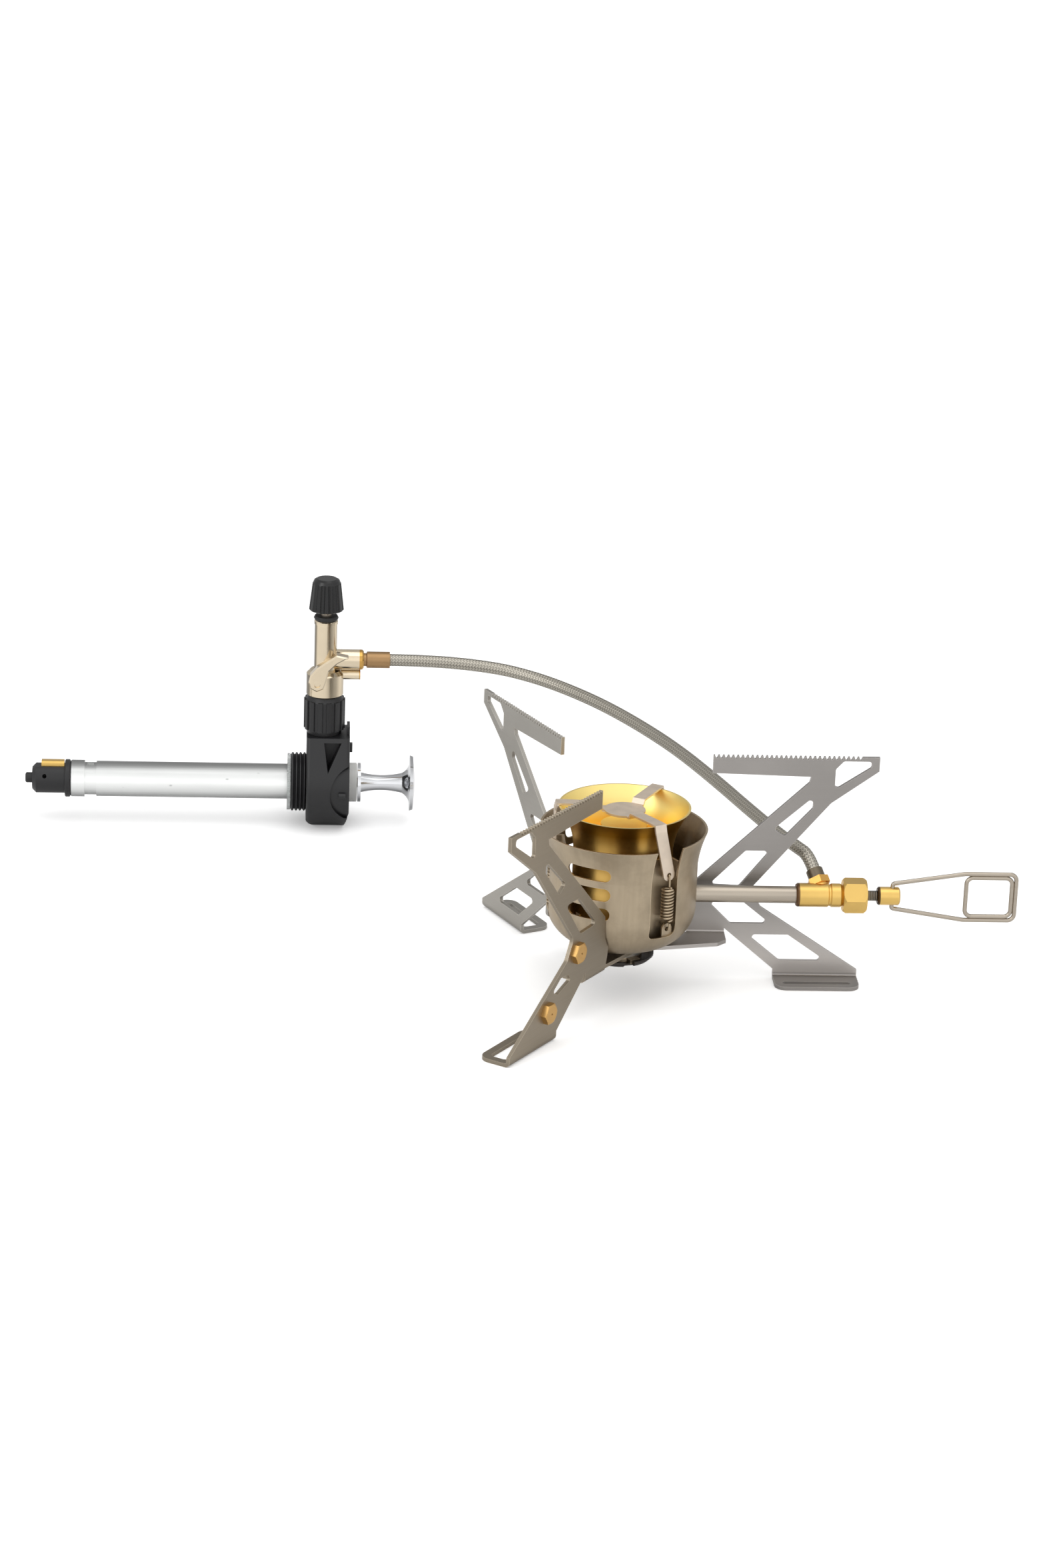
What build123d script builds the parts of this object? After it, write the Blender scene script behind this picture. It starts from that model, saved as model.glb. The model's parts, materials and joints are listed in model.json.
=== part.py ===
"""Multi-fuel camping stove with its fuel hose and fuel pump.

Frame while modelling: the burner's axis is X = Y = 0, the table is Z = 0, and the fuel tube
runs along +X. At the end every piece is moved so that the origin is the bottom centre of the
box round everything but the hose. Millimetres.
"""
import os
from math import acos, atan2, cos, degrees, pi, radians, sin, sqrt, tan

from build123d import *

# Stove height and the cup, the bell and the flame spreader
SUPPORT_HEIGHT = 92.0
SHEET = 1.5
THIN_SHEET = 0.8
CUP_RADIUS = 29.0
CUP_BOTTOM = 19.4
CUP_CORNER = 15.7
CUP_TOP = 65.8
CUP_LIP_FLARE = 3.3
CUP_LIP_RISE = 13.5
VENT_HEIGHT = 5.1
VENT_LEVELS = (39.7, 47.6, 55.5)
VENT_SPAN = 36.0
VENT_AZIMUTHS = (-121.0, 119.0)
SLOT_FLOOR = 29.3
SLOT_WIDTH = 11.9
SLOT_CORNER = 2.5
CHANNEL_DEPTH = 4.1
CHANNEL_TOP = 59.5
SPREADER_ARMS = (-60.0, 60.0, 180.0)
BELL_RADIUS = 19.2
BELL_RIM_RADIUS = 25.5
BELL_RIM = 74.0
BELL_FLARE_START = 56.0
BELL_FLOOR = 60.0
BELL_THROAT = 8.0
BELL_BOTTOM = 22.0
AIR_WINDOWS = 6
AIR_WINDOW_WIDTH = 8.0
AIR_WINDOW_HEIGHT = 9.0
FLAME_PORTS = 12
SPREADER_DISC_RADIUS = 8.0
SPREADER_DISC_DROP = 1.4
SPREADER_ARM_WIDTH = 5.0
SPREADER_ARM_SIDE = -1.5
SPREADER_ARM_END = 51.6
SPREADER_ARM_END_RADIUS = CUP_RADIUS - 3.0
HOOK_HOLE_RADIUS = 0.95
HOOK_HOLE_INSET = 2.4

# Clip springs between the spreader's arms and the cup's tabs
SPRING_RADIUS = 2.15
SPRING_WIRE = 0.4
SPRING_TURNS = 10
SPRING_BOTTOM = 35.4
SPRING_TOP = 48.8
SPRING_AXIS_RADIUS = CUP_RADIUS - 2.5
SPRING_SIDE = 3.1
TAB_HOLE_LEVEL = 32.1
TAB_WIDTH = 4.4

# Hub: leg tabs stacked on one screw under the cup
HUB_SCREW_RADIUS = 3.0
RUNNING_CLEARANCE = 0.05
STACK_CLEARANCE = 0.1
HUB_TAB_RADIUS = 9.0
HUB_NUT_FLATS = 10.0
HUB_NUT_HEIGHT = 3.6
DISH_RADIUS = 13.6
DISH_THICKNESS = 0.8
DISH_NOTCH_WIDTH = 4.0
SCREW_HEAD_RADIUS = 5.6
SCREW_HEAD_HEIGHT = 2.0
PAD_HEIGHT = 2.6

# Legs. A pair is a distance from the burner's axis and a share of the support height
LEG_OFFSET = 8.3
LEG_INNER_END = 34.1
LEG_OUTER_END = 98.5
LEG_BAR_INNER_DEPTH = 7.2
LEG_BAR_OUTER_DEPTH = 5.6
TEETH = 31
TOOTH_PITCH = 1.86
TOOTH_DEPTH = 1.2
TOOTH_TIP = 0.3
TOOTH_ROOT = 0.2
BAR_JOINT = (72.3, 0.911)
BAR_JOINT_LOWER = (71.7, 0.885)
RAIL_OUTER_JOINT = (80.5, 0.795)
ELBOW_UPPER = (51.2, 0.409)
ELBOW_LOWER = (55.4, 0.325)
WAIST = 0.43
CUP_TO_LEG = 0.6
END_WINDOW = ((81.6, 0.946), (84.6, 0.982), (95.4, 0.982), (95.4, 0.955), (81.6, 0.854))
RAIL_WINDOW = ((73.6, 0.822), (73.6, 0.771), (63.2, 0.643), (58.7, 0.676))
WAIST_WINDOW = ((48.4, 0.578), (57.9, 0.578), (46.4, 0.417), (34.6, 0.423))
WEB_WINDOW = ((34.6, 0.348), (48.3, 0.348), (59.6, 0.249), (43.8, 0.249))
SHIN_WINDOW = ((50.5, 0.2), (66.7, 0.2), (82.2, 0.083), (63.6, 0.083))
JET_SIDE_WINDOW = ((54.0, 0.265), (59.6, 0.267), (65.6, 0.220), (61.2, 0.202), (52.6, 0.235))
FOOT_OUTER = 94.5
FOOT_INNER = 61.5
FOOT_SHIN = 2.9
TAB_OUTER = 41.6
TAB_INNER = 26.7
TAB_CORNER = 3.6
TAB_WAIST = (16.0, -8.0)
HEEL_RISE = 18.6
BEND_RADIUS = 2.2
FOOT_WIDTH = 14.0
FOOT_STRAP = 3.2
FOOT_CORNER = 4.5
FOOT_SLOT_EDGE = 0.8
FIXED_FOOT_SLOT_EDGE = 6.0
REAR_LEG_AZIMUTH = 115.3
FRONT_LEG_AZIMUTH = -124.8
HOLE_CORNER = 1.2
ELBOW_CORNER = 3.0

# Spare jets kept in the front leg, and the main jet
JET_FLATS = 7.4
JET_HEAD = 2.2
JET_THREAD_RADIUS = 2.5
JET_SHANK = 2.7
JET_HOLE = 0.35
SPARE_JET_PLACES = ((48.4, 31.4), (68.7, 13.6))

# Fuel tube, valve block, spindle and wire handle
TUBE_LEVEL = 38.4
TUBE_RADIUS = 3.3
TUBE_WALL = 0.6
JET_BLOCK_RADIUS = 6.0
JET_BLOCK_TOP = 44.0
JET_BLOCK_STEM_RADIUS = 4.0
BLOCK_START = 67.7
BLOCK_LENGTH = 18.2
BLOCK_RADIUS = 4.6
GLAND_FLATS = 12.1
GLAND_LENGTH = 9.2
SPINDLE_RADIUS = 2.0
SPINDLE_SHOW = 4.3
COUPLER_LENGTH = 8.7
COUPLER_RADIUS = 3.55
CROSS_HOLE_FROM_TIP = 2.8
WIRE_RADIUS = 0.85
HANDLE_REACH = 48.1
HANDLE_HALF_HEIGHT = 9.5
HANDLE_LOOP = 20.0
HANDLE_CORNER = 2.6

# Hose port on the block and its ferrule
PORT_FROM_BLOCK_START = 10.9
PORT_DIRECTION = (-0.29, 0.692, 0.661)
PORT_RADIUS = 3.4
PORT_LENGTH = 7.0
PORT_NUT_FLATS = 7.8
PORT_NUT_LENGTH = 2.8
FERRULE_RADIUS = 3.3
FERRULE_LENGTH = 4.0
HOSE_RADIUS = 2.5

# Pump: places along X are distances from the head's bottle face
PUMP_HEAD_FACE = -120.7
PUMP_Y = 179.9
PUMP_AXIS = 17.7
HEAD_LENGTH = 18.2
HEAD_RADIUS = 18.4
HEAD_TOP = 40.3
HEAD_BOX_HALF_WIDTH = 9.4
HEAD_FACE_CHAMFER = (3.4, 4.0)
HEAD_BACK_CHAMFER = (2.2, 9.0)
HEAD_EDGE = 1.5
HEAD_RECESS = ((7.3, 38.6), (14.7, 38.6), (9.0, 26.8))
HEAD_RECESS_DEPTH = 3.0
HEAD_SCOOP = ((17.4, 29.5), (10.0, 17.0), (16.4, 6.5))
HEAD_SCOOP_DEPTH = 1.2
HEAD_LUG_LENGTH = 1.2
HEAD_LUG_HEIGHT = 3.4
HEAD_PEG_LEVELS = (32.2, 36.0)
THREAD_RADIUS = 12.5
THREAD_LENGTH = 6.6
THREAD_PITCH = 1.65
THREAD_DEPTH = 0.9
SEAL_THICKNESS = 1.4
SEAL_RADIUS = 12.0
BARREL_RADIUS = 7.5
BARREL_WALL = 1.0
BARREL_LENGTH = 88.7
SLEEVE_LENGTH = 11.1
SLEEVE_BAND = 5.0
SLEEVE_BAND_RADIUS = 6.9
SLEEVE_WINDOW_FLOOR = 5.4
SLEEVE_RADIUS = 7.8
CHECK_BALL_RADIUS = 1.6
CHECK_CAVITY_RADIUS = 2.2
CHECK_CAVITY_LENGTH = 7.0
CAP_RING_LENGTH = 2.2
CAP_RING_RADIUS = 8.0
CAP_LENGTH = 13.8
CAP_RADIUS = 6.4
CAP_TIP_LENGTH = 3.0
CAP_TIP_RADIUS = 2.2
INLET_LENGTH = 9.6
INLET_RISE = 2.2
INLET_WIDTH = 4.0
GUIDE_RADIUS = 8.3
GUIDE_SHOW = 3.4
GUIDE_DEPTH = 8.0
HANDLE_GAP = 0.3
PULL_DISC_RADIUS = 8.3
PULL_DISC_THICKNESS = 1.3
PULL_NECK_LENGTH = 17.6
PULL_NECK_RADIUS = 3.2
PULL_NECK_END_RADIUS = 4.3
TRUMPET_RADIUS = 11.9
TRUMPET_THICKNESS = 1.4
TRUMPET_FLARE = 3.2
ROD_RADIUS = 2.0
PISTON_LENGTH = 7.0
PISTON_TO_SLEEVE = 6.0
PISTON_CLEARANCE = 0.06
PISTON_NUT_FLATS = 6.0
PISTON_NUT_LENGTH = 2.6

# Pump valve tower on the head
TOWER_X = PUMP_HEAD_FACE + 7.3
COLLAR_RADIUS = 8.7
COLLAR_HEIGHT = 16.6
COLLAR_RIBS = 14
COLLAR_RIB_DEPTH = 0.6
TOWER_STEM_RADIUS = 5.5
TOWER_STEM_DEPTH = 7.0
BASE_RADIUS = 7.85
BASE_HEIGHT = 11.0
POST_RADIUS = 4.75
POST_HEIGHT = 22.1
POST_COLLAR_RADIUS = 5.0
POST_COLLAR_HEIGHT = 1.8
SIDE_PORT_RADIUS = 4.3
SIDE_PORT_REACH = 16.1
SIDE_PORT_ABOVE_BASE = 4.5
PUMP_FERRULE_RADIUS = 3.5
PUMP_FERRULE_LENGTH = 11.0
STUB_RADIUS = 2.1
STUB_REACH = 14.8
STUB_BELOW_PORT = 6.7
STRAP_CORNERS = ((4.6, 4.2), (9.6, 3.2), (4.8, 0.4), (1.4, -3.0), (0.2, -8.0), (-0.8, -10.8),
                 (-3.5, -12.0), (-6.2, -10.6), (-7.0, -8.0), (-6.4, -5.0), (-3.4, -1.4))
STRAP_THICKNESS = 4.6
STRAP_AHEAD = 0.8
STRAP_EDGE = 0.5
STRAP_DIMPLE = (-3.4, -8.8)
STRAP_DIMPLE_RADIUS = 1.4
STRAP_DIMPLE_DEPTH = 1.0
VALVE_SPINDLE_RADIUS = 2.35
VALVE_SPINDLE_DEPTH = 20.0
O_RING_HEIGHT = 1.7
O_RING_RADIUS = 5.2
KNOB_GAP = 2.5
KNOB_RADIUS = 7.3
KNOB_TAPER = 1.3
KNOB_HEIGHT = 13.7
KNOB_FLUTES = 12
KNOB_FLUTE_RADIUS = 1.1

# Hose: one end is the pump's ferrule, the other the stove's
HOSE_FIRST_RUN = 17.9
HOSE_POINTS = [
    (-42.6, 178.6, 70.6),
    (-26.7, 173.5, 68.5),
    (-12.8, 163.4, 66.8),
    (2.0, 147.7, 65.0),
    (16.2, 128.8, 62.6),
    (29.9, 105.8, 60.2),
    (42.8, 78.4, 57.2),
    (55.0, 48.5, 54.4),
    (63.5, 29.0, 52.6),
    (69.6, 17.8, 51.4),
]
HOSE_LAST_RUN = 7.0

# Levels that follow from the sizes above
FIXED_TAB_TOP = CUP_BOTTOM
FRONT_TAB_TOP = FIXED_TAB_TOP - SHEET - STACK_CLEARANCE
REAR_TAB_TOP = FRONT_TAB_TOP - SHEET - STACK_CLEARANCE
HUB_PLATE_TOP = REAR_TAB_TOP - SHEET - STACK_CLEARANCE
DISH_FLOOR_TOP = HUB_PLATE_TOP - SHEET
SCREW_HEAD_TOP = DISH_FLOOR_TOP - DISH_THICKNESS
CUP_FLOOR = CUP_BOTTOM + THIN_SHEET
HUB_HOLE_RADIUS = HUB_SCREW_RADIUS + RUNNING_CLEARANCE
BLOCK_END = BLOCK_START + BLOCK_LENGTH
GLAND_END = BLOCK_END + GLAND_LENGTH
COUPLER_START = GLAND_END + SPINDLE_SHOW
COUPLER_END = COUPLER_START + COUPLER_LENGTH
CROSS_HOLE_X = COUPLER_END - CROSS_HOLE_FROM_TIP
PORT_AXIS = Vector(*PORT_DIRECTION).normalized()
PORT_ROOT = Vector(BLOCK_START + PORT_FROM_BLOCK_START, 0, TUBE_LEVEL)
HOSE_STOVE_END = PORT_ROOT + PORT_AXIS * (PORT_LENGTH + FERRULE_LENGTH)
HEAD_END = PUMP_HEAD_FACE + HEAD_LENGTH
BARREL_END = PUMP_HEAD_FACE - BARREL_LENGTH
SLEEVE_END = BARREL_END - SLEEVE_LENGTH
CAP_RING_END = SLEEVE_END - CAP_RING_LENGTH
CAP_END = CAP_RING_END - CAP_LENGTH
GUIDE_END = HEAD_END + GUIDE_SHOW
PISTON_START = BARREL_END + PISTON_TO_SLEEVE
BORE_RADIUS = BARREL_RADIUS - BARREL_WALL
BASE_BOTTOM = HEAD_TOP + COLLAR_HEIGHT + 2 * STACK_CLEARANCE
BASE_TOP = BASE_BOTTOM + BASE_HEIGHT
POST_TOP = BASE_TOP + POST_HEIGHT
SIDE_PORT_LEVEL = BASE_TOP + SIDE_PORT_ABOVE_BASE
SIDE_PORT_END = TOWER_X + SIDE_PORT_REACH
HOSE_PUMP_END = Vector(SIDE_PORT_END + PUMP_FERRULE_LENGTH, PUMP_Y, SIDE_PORT_LEVEL)
O_RING_TOP = POST_TOP + O_RING_HEIGHT
KNOB_BOTTOM = O_RING_TOP + KNOB_GAP
KNOB_TOP = KNOB_BOTTOM + KNOB_HEIGHT


def upright(radius, bottom, top, x=0.0, y=0.0):
    """A cylinder along Z."""
    at_base = (Align.CENTER, Align.CENTER, Align.MIN)
    return Pos(x, y, bottom) * Cylinder(radius, top - bottom, align=at_base)


def lying(radius, start, end, y=0.0, z=0.0):
    """A cylinder along X."""
    at_base = (Align.CENTER, Align.CENTER, Align.MIN)
    return Pos(start, y, z) * Rot(0, 90, 0) * Cylinder(radius, end - start, align=at_base)


def pointing(radius, start, direction, length):
    """A cylinder from a point along any direction."""
    plane = Plane(origin=start, z_dir=direction)
    return extrude(plane * Circle(radius), amount=length)


def block(x0, x1, y0, y1, z0, z1):
    """A box between two corners."""
    at_corner = (Align.MIN, Align.MIN, Align.MIN)
    return Pos(x0, y0, z0) * Box(x1 - x0, y1 - y0, z1 - z0, align=at_corner)


def turned(outline):
    """Turn a closed outline of (radius, height) points about Z."""
    return revolve(Plane.XZ * make_face(Polyline(*outline, close=True)), Axis.Z)


def turned_along_x(outline, y, z):
    """Turn a closed outline of (place along X, radius) points about an axis along X."""
    face = make_face(Polyline(*outline, close=True))
    return Pos(0, y, z) * revolve(face, Axis.X)


def hexagon(flats):
    """A hexagon by its width across flats."""
    return RegularPolygon(flats / 2, 6, major_radius=False)


def at_azimuth(shape, azimuth):
    """Swing a piece made on the +X side round the burner's axis."""
    return shape.rotate(Axis.Z, azimuth)


def hole_outline(points, corner=HOLE_CORNER):
    """A closed hole outline with rounded corners, in its sketch plane."""
    face = make_face(Polyline(*points, close=True))
    return fillet(face.vertices(), corner)


def standing(sketch, near_y, thickness):
    """Stand a sketch of (X, Z) points up as a plate from near_y towards +Y."""
    return extrude(Plane.XZ.offset(-near_y) * sketch, amount=-thickness)


def tooth_points():
    """Saw teeth along the top of the pot support, from the inner end outwards."""
    points = []
    slope = (1 - TOOTH_TIP - TOOTH_ROOT) / 2
    for index in range(TEETH):
        start = LEG_INNER_END + index * TOOTH_PITCH
        root = start + TOOTH_PITCH * (TOOTH_TIP + slope)
        points.append((start, SUPPORT_HEIGHT))
        points.append((start + TOOTH_PITCH * TOOTH_TIP, SUPPORT_HEIGHT))
        points.append((root, SUPPORT_HEIGHT - TOOTH_DEPTH))
        points.append((root + TOOTH_PITCH * TOOTH_ROOT, SUPPORT_HEIGHT - TOOTH_DEPTH))
    points.append((LEG_INNER_END + TEETH * TOOTH_PITCH, SUPPORT_HEIGHT))
    return points


def cup_radius_at(level):
    """Outer radius of the cup at a height, below its lip."""
    drop = max(CUP_BOTTOM + CUP_CORNER - level, 0)
    return CUP_RADIUS - CUP_CORNER + sqrt(CUP_CORNER ** 2 - drop ** 2)


def web_clear_of_cup(level):
    """Distance along a leg at which its web stands clear of the cup."""
    return sqrt((cup_radius_at(level) + CUP_TO_LEG) ** 2 - LEG_OFFSET ** 2)


def leg_place(corner):
    """A leg's corner as (distance, height)."""
    return (corner[0], corner[1] * SUPPORT_HEIGHT)


def leg_outline(tab_bottom):
    """The upright sheet of a leg, from its teeth to its foot and to its tab."""
    web_bottom = tab_bottom + BEND_RADIUS
    shin_end = FOOT_SHIN + BEND_RADIUS / 2
    beside_cup = [CUP_BOTTOM + CUP_CORNER * 0.4, CUP_BOTTOM + CUP_CORNER * 0.7,
                  WAIST * SUPPORT_HEIGHT]
    body = [
        (LEG_OUTER_END, SUPPORT_HEIGHT),
        (LEG_OUTER_END, SUPPORT_HEIGHT - LEG_BAR_OUTER_DEPTH),
        leg_place(RAIL_OUTER_JOINT),
        leg_place(ELBOW_UPPER),
        leg_place(ELBOW_LOWER),
        (FOOT_OUTER, shin_end),
        (FOOT_OUTER, BEND_RADIUS),
        (FOOT_INNER, BEND_RADIUS),
        (FOOT_INNER, shin_end),
        (TAB_OUTER, HEEL_RISE + BEND_RADIUS),
        (TAB_OUTER, web_bottom),
        (TAB_INNER, web_bottom),
    ]
    body += [(web_clear_of_cup(level), level) for level in beside_cup]
    body += [
        leg_place(BAR_JOINT_LOWER),
        leg_place(BAR_JOINT),
        (LEG_INNER_END, SUPPORT_HEIGHT - LEG_BAR_INNER_DEPTH),
    ]
    return tooth_points() + body


def rounded_elbow(face):
    """Round the two corners where a leg's rail turns into its shin."""
    elbow = Vector(*leg_place(ELBOW_UPPER))
    nearest = face.vertices().sort_by(lambda vertex: (vertex.center() - elbow).length)
    face = fillet(nearest[0], ELBOW_CORNER)
    elbow = Vector(*leg_place(ELBOW_LOWER))
    nearest = face.vertices().sort_by(lambda vertex: (vertex.center() - elbow).length)
    return fillet(nearest[0], ELBOW_CORNER)


def leg_windows(solid_shin):
    """Cut-outs of a leg. The front leg is solid round its two spare jets."""
    windows = [END_WINDOW, RAIL_WINDOW, WAIST_WINDOW]
    windows += [JET_SIDE_WINDOW] if solid_shin else [WEB_WINDOW, SHIN_WINDOW]
    return [[leg_place(corner) for corner in window] for window in windows]


def sheet_bend(x0, x1, outer_y, bottom):
    """A quarter bend joining an upright sheet to a flat one that leaves towards -Y."""
    centre_y = outer_y - BEND_RADIUS
    centre_z = bottom + BEND_RADIUS
    ring = lying(BEND_RADIUS, x0, x1, centre_y, centre_z)
    ring -= lying(BEND_RADIUS - SHEET, x0, x1, centre_y, centre_z)
    return ring & block(x0, x1, centre_y, outer_y, bottom, centre_z)


def leg_foot(slot_edge):
    """The loop that a leg stands on, folded towards the leg's clockwise side."""
    outer_y = LEG_OFFSET + SHEET
    near = outer_y - BEND_RADIUS
    far = outer_y - FOOT_WIDTH
    pad = block(FOOT_INNER, FOOT_OUTER, far, near, 0, SHEET)
    corner_edges = pad.edges().filter_by(Axis.Z).sort_by(Axis.Y)[:2]
    pad = fillet(corner_edges, FOOT_CORNER)
    opening = block(FOOT_INNER + FOOT_STRAP, FOOT_OUTER - FOOT_STRAP, far + FOOT_STRAP,
                    near - slot_edge, -1, SHEET + 1)
    slot_width = FOOT_WIDTH - FOOT_STRAP - BEND_RADIUS - slot_edge
    opening = fillet(opening.edges().filter_by(Axis.Z), min(FOOT_CORNER, 0.9 * slot_width) / 2)
    return (pad - opening) + sheet_bend(FOOT_INNER, FOOT_OUTER, outer_y, 0)


def leg_tab(tab_bottom):
    """The flat tab from a leg's web to the hub screw."""
    outer_y = LEG_OFFSET + SHEET
    near = outer_y - BEND_RADIUS
    outline = [
        (TAB_OUTER, near),
        (TAB_OUTER, 0),
        (TAB_OUTER - TAB_CORNER, -TAB_CORNER),
        TAB_WAIST,
        (0.0, -HUB_TAB_RADIUS),
        (0.0, HUB_TAB_RADIUS),
        (TAB_INNER, near),
    ]
    face = make_face(Polyline(*outline, close=True))
    tab = Pos(0, 0, tab_bottom) * extrude(face, amount=SHEET)
    tab += upright(HUB_TAB_RADIUS, tab_bottom, tab_bottom + SHEET)
    tab += sheet_bend(TAB_INNER, TAB_OUTER, outer_y, tab_bottom)
    return tab - upright(HUB_HOLE_RADIUS, tab_bottom - 1, tab_bottom + SHEET + 1)


def leg(tab_top, solid_shin=False, slot_edge=FOOT_SLOT_EDGE):
    """One pressed leg, made on the +X side."""
    tab_bottom = tab_top - SHEET
    sheet = rounded_elbow(make_face(Polyline(*leg_outline(tab_bottom), close=True)))
    for window in leg_windows(solid_shin):
        sheet -= hole_outline(window)
    piece = standing(sheet, LEG_OFFSET, SHEET) + leg_foot(slot_edge) + leg_tab(tab_bottom)
    if solid_shin:
        for r, z in SPARE_JET_PLACES:
            shank = Pos(r, LEG_OFFSET + SHEET / 2, z) * Rot(-90, 0, 0)
            piece -= shank * Cylinder(JET_THREAD_RADIUS, 3 * SHEET, align=(Align.CENTER,) * 3)
    return piece


def jet():
    """A jet with a hexagon head: the head's seat is at Z = 0 and its thread below."""
    head = extrude(hexagon(JET_FLATS), amount=JET_HEAD)
    head = head & turned([(0, 0), (JET_FLATS * 0.6, 0), (JET_FLATS * 0.6, JET_HEAD * 0.8),
                          (JET_FLATS * 0.46, JET_HEAD), (0, JET_HEAD)])
    body = head + upright(JET_THREAD_RADIUS, -JET_SHANK, 0)
    return body - upright(JET_HOLE, -JET_SHANK - 1, JET_HEAD + 1)


def spare_jets():
    """Two spare jets screwed through the front leg's sheet."""
    pieces = []
    for r, z in SPARE_JET_PLACES:
        seated = Pos(r, LEG_OFFSET + SHEET, z) * Rot(-90, 0, 0) * jet()
        pieces.append(at_azimuth(seated, FRONT_LEG_AZIMUTH))
    return Compound(children=pieces)


def cup_shell():
    """The wind cup's wall: a rounded bottom, a straight side and a flared lip."""
    inner_corner = CUP_CORNER - THIN_SHEET
    inner_radius = CUP_RADIUS - THIN_SHEET
    corner_x = CUP_RADIUS - CUP_CORNER
    corner_z = CUP_BOTTOM + CUP_CORNER
    flare_start = CUP_TOP - CUP_LIP_RISE
    lip_radius = CUP_RADIUS + CUP_LIP_FLARE
    slant = sqrt(0.5)
    lines = [
        Line((0, CUP_BOTTOM), (corner_x, CUP_BOTTOM)),
        ThreePointArc((corner_x, CUP_BOTTOM),
                      (corner_x + CUP_CORNER * slant, corner_z - CUP_CORNER * slant),
                      (CUP_RADIUS, corner_z)),
        Line((CUP_RADIUS, corner_z), (CUP_RADIUS, flare_start)),
        ThreePointArc((CUP_RADIUS, flare_start),
                      (CUP_RADIUS + CUP_LIP_FLARE * 0.36, CUP_TOP - CUP_LIP_RISE * 0.48),
                      (lip_radius, CUP_TOP)),
        Line((lip_radius, CUP_TOP), (lip_radius - THIN_SHEET, CUP_TOP)),
        ThreePointArc((lip_radius - THIN_SHEET, CUP_TOP),
                      (inner_radius + CUP_LIP_FLARE * 0.36, CUP_TOP - CUP_LIP_RISE * 0.48),
                      (inner_radius, flare_start)),
        Line((inner_radius, flare_start), (inner_radius, corner_z)),
        ThreePointArc((inner_radius, corner_z),
                      (corner_x + inner_corner * slant, corner_z - inner_corner * slant),
                      (corner_x, CUP_FLOOR)),
        Line((corner_x, CUP_FLOOR), (0, CUP_FLOOR)),
        Line((0, CUP_FLOOR), (0, CUP_BOTTOM)),
    ]
    return revolve(Plane.XZ * make_face(lines), Axis.Z)


def vent_cutter(level):
    """One level vent with rounded ends, on the +X side."""
    half_span = VENT_SPAN / 2 - degrees(VENT_HEIGHT / 2 / CUP_RADIUS)
    half_arc = CUP_RADIUS * sin(radians(half_span))
    bar = block(0, CUP_RADIUS + 4, -half_arc, half_arc, level - VENT_HEIGHT / 2,
                level + VENT_HEIGHT / 2)
    for side in (-half_span, half_span):
        bar += at_azimuth(lying(VENT_HEIGHT / 2, 0, CUP_RADIUS + 4, 0, level), side)
    return bar


def wind_cup():
    """Wind cup with spring slots and channels, vents, the tube's hole and the spring tabs."""
    cup = cup_shell()
    for azimuth in SPREADER_ARMS:
        slot = block(CUP_RADIUS - CUP_CORNER * 0.4, CUP_RADIUS * 2, -SLOT_WIDTH / 2,
                     SLOT_WIDTH / 2, SLOT_FLOOR, CUP_TOP + 1)
        slot = fillet(slot.edges().filter_by(Axis.X).sort_by(Axis.Z)[:2], SLOT_CORNER)
        cup -= at_azimuth(slot, azimuth)
    for azimuth in VENT_AZIMUTHS:
        for level in VENT_LEVELS:
            inner_side = block(0, CUP_RADIUS * 2, -CUP_RADIUS, CUP_RADIUS, 0, CUP_TOP)
            cup -= at_azimuth(vent_cutter(level) & inner_side, azimuth)
    cup -= lying(TUBE_RADIUS + STACK_CLEARANCE, CUP_RADIUS * 0.6, CUP_RADIUS + 4, 0, TUBE_LEVEL)
    cup -= upright(HUB_HOLE_RADIUS, CUP_BOTTOM - 1, CUP_FLOOR + 1)
    for azimuth in SPREADER_ARMS:
        cup += at_azimuth(spring_channel(), azimuth)
        cup += at_azimuth(spring_tab(), azimuth)
    return cup


def cup_filled():
    """The space inside the middle of the cup's wall, up to the top of the spring channels."""
    half = THIN_SHEET / 2
    corner = CUP_CORNER - half
    corner_x = CUP_RADIUS - CUP_CORNER
    corner_z = CUP_BOTTOM + CUP_CORNER
    slant = sqrt(0.5)
    wall = CUP_RADIUS - half
    lines = [
        Line((0, CUP_BOTTOM + half), (corner_x, CUP_BOTTOM + half)),
        ThreePointArc((corner_x, CUP_BOTTOM + half),
                      (corner_x + corner * slant, corner_z - corner * slant), (wall, corner_z)),
        Line((wall, corner_z), (wall, CHANNEL_TOP)),
        Line((wall, CHANNEL_TOP), (0, CHANNEL_TOP)),
        Line((0, CHANNEL_TOP), (0, CUP_BOTTOM + half)),
    ]
    return revolve(Plane.XZ * make_face(lines), Axis.Z)


def spring_channel():
    """The channel behind a slot, which keeps the burner's heat off the spring."""
    back = SPRING_AXIS_RADIUS - CHANNEL_DEPTH
    half = SLOT_WIDTH / 2
    outside = half + THIN_SHEET
    channel = block(back, CUP_RADIUS, -outside, outside, CUP_BOTTOM, CHANNEL_TOP)
    channel -= block(back + THIN_SHEET, CUP_RADIUS, -half, half, CUP_BOTTOM, CHANNEL_TOP)
    return channel & cup_filled()


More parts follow.
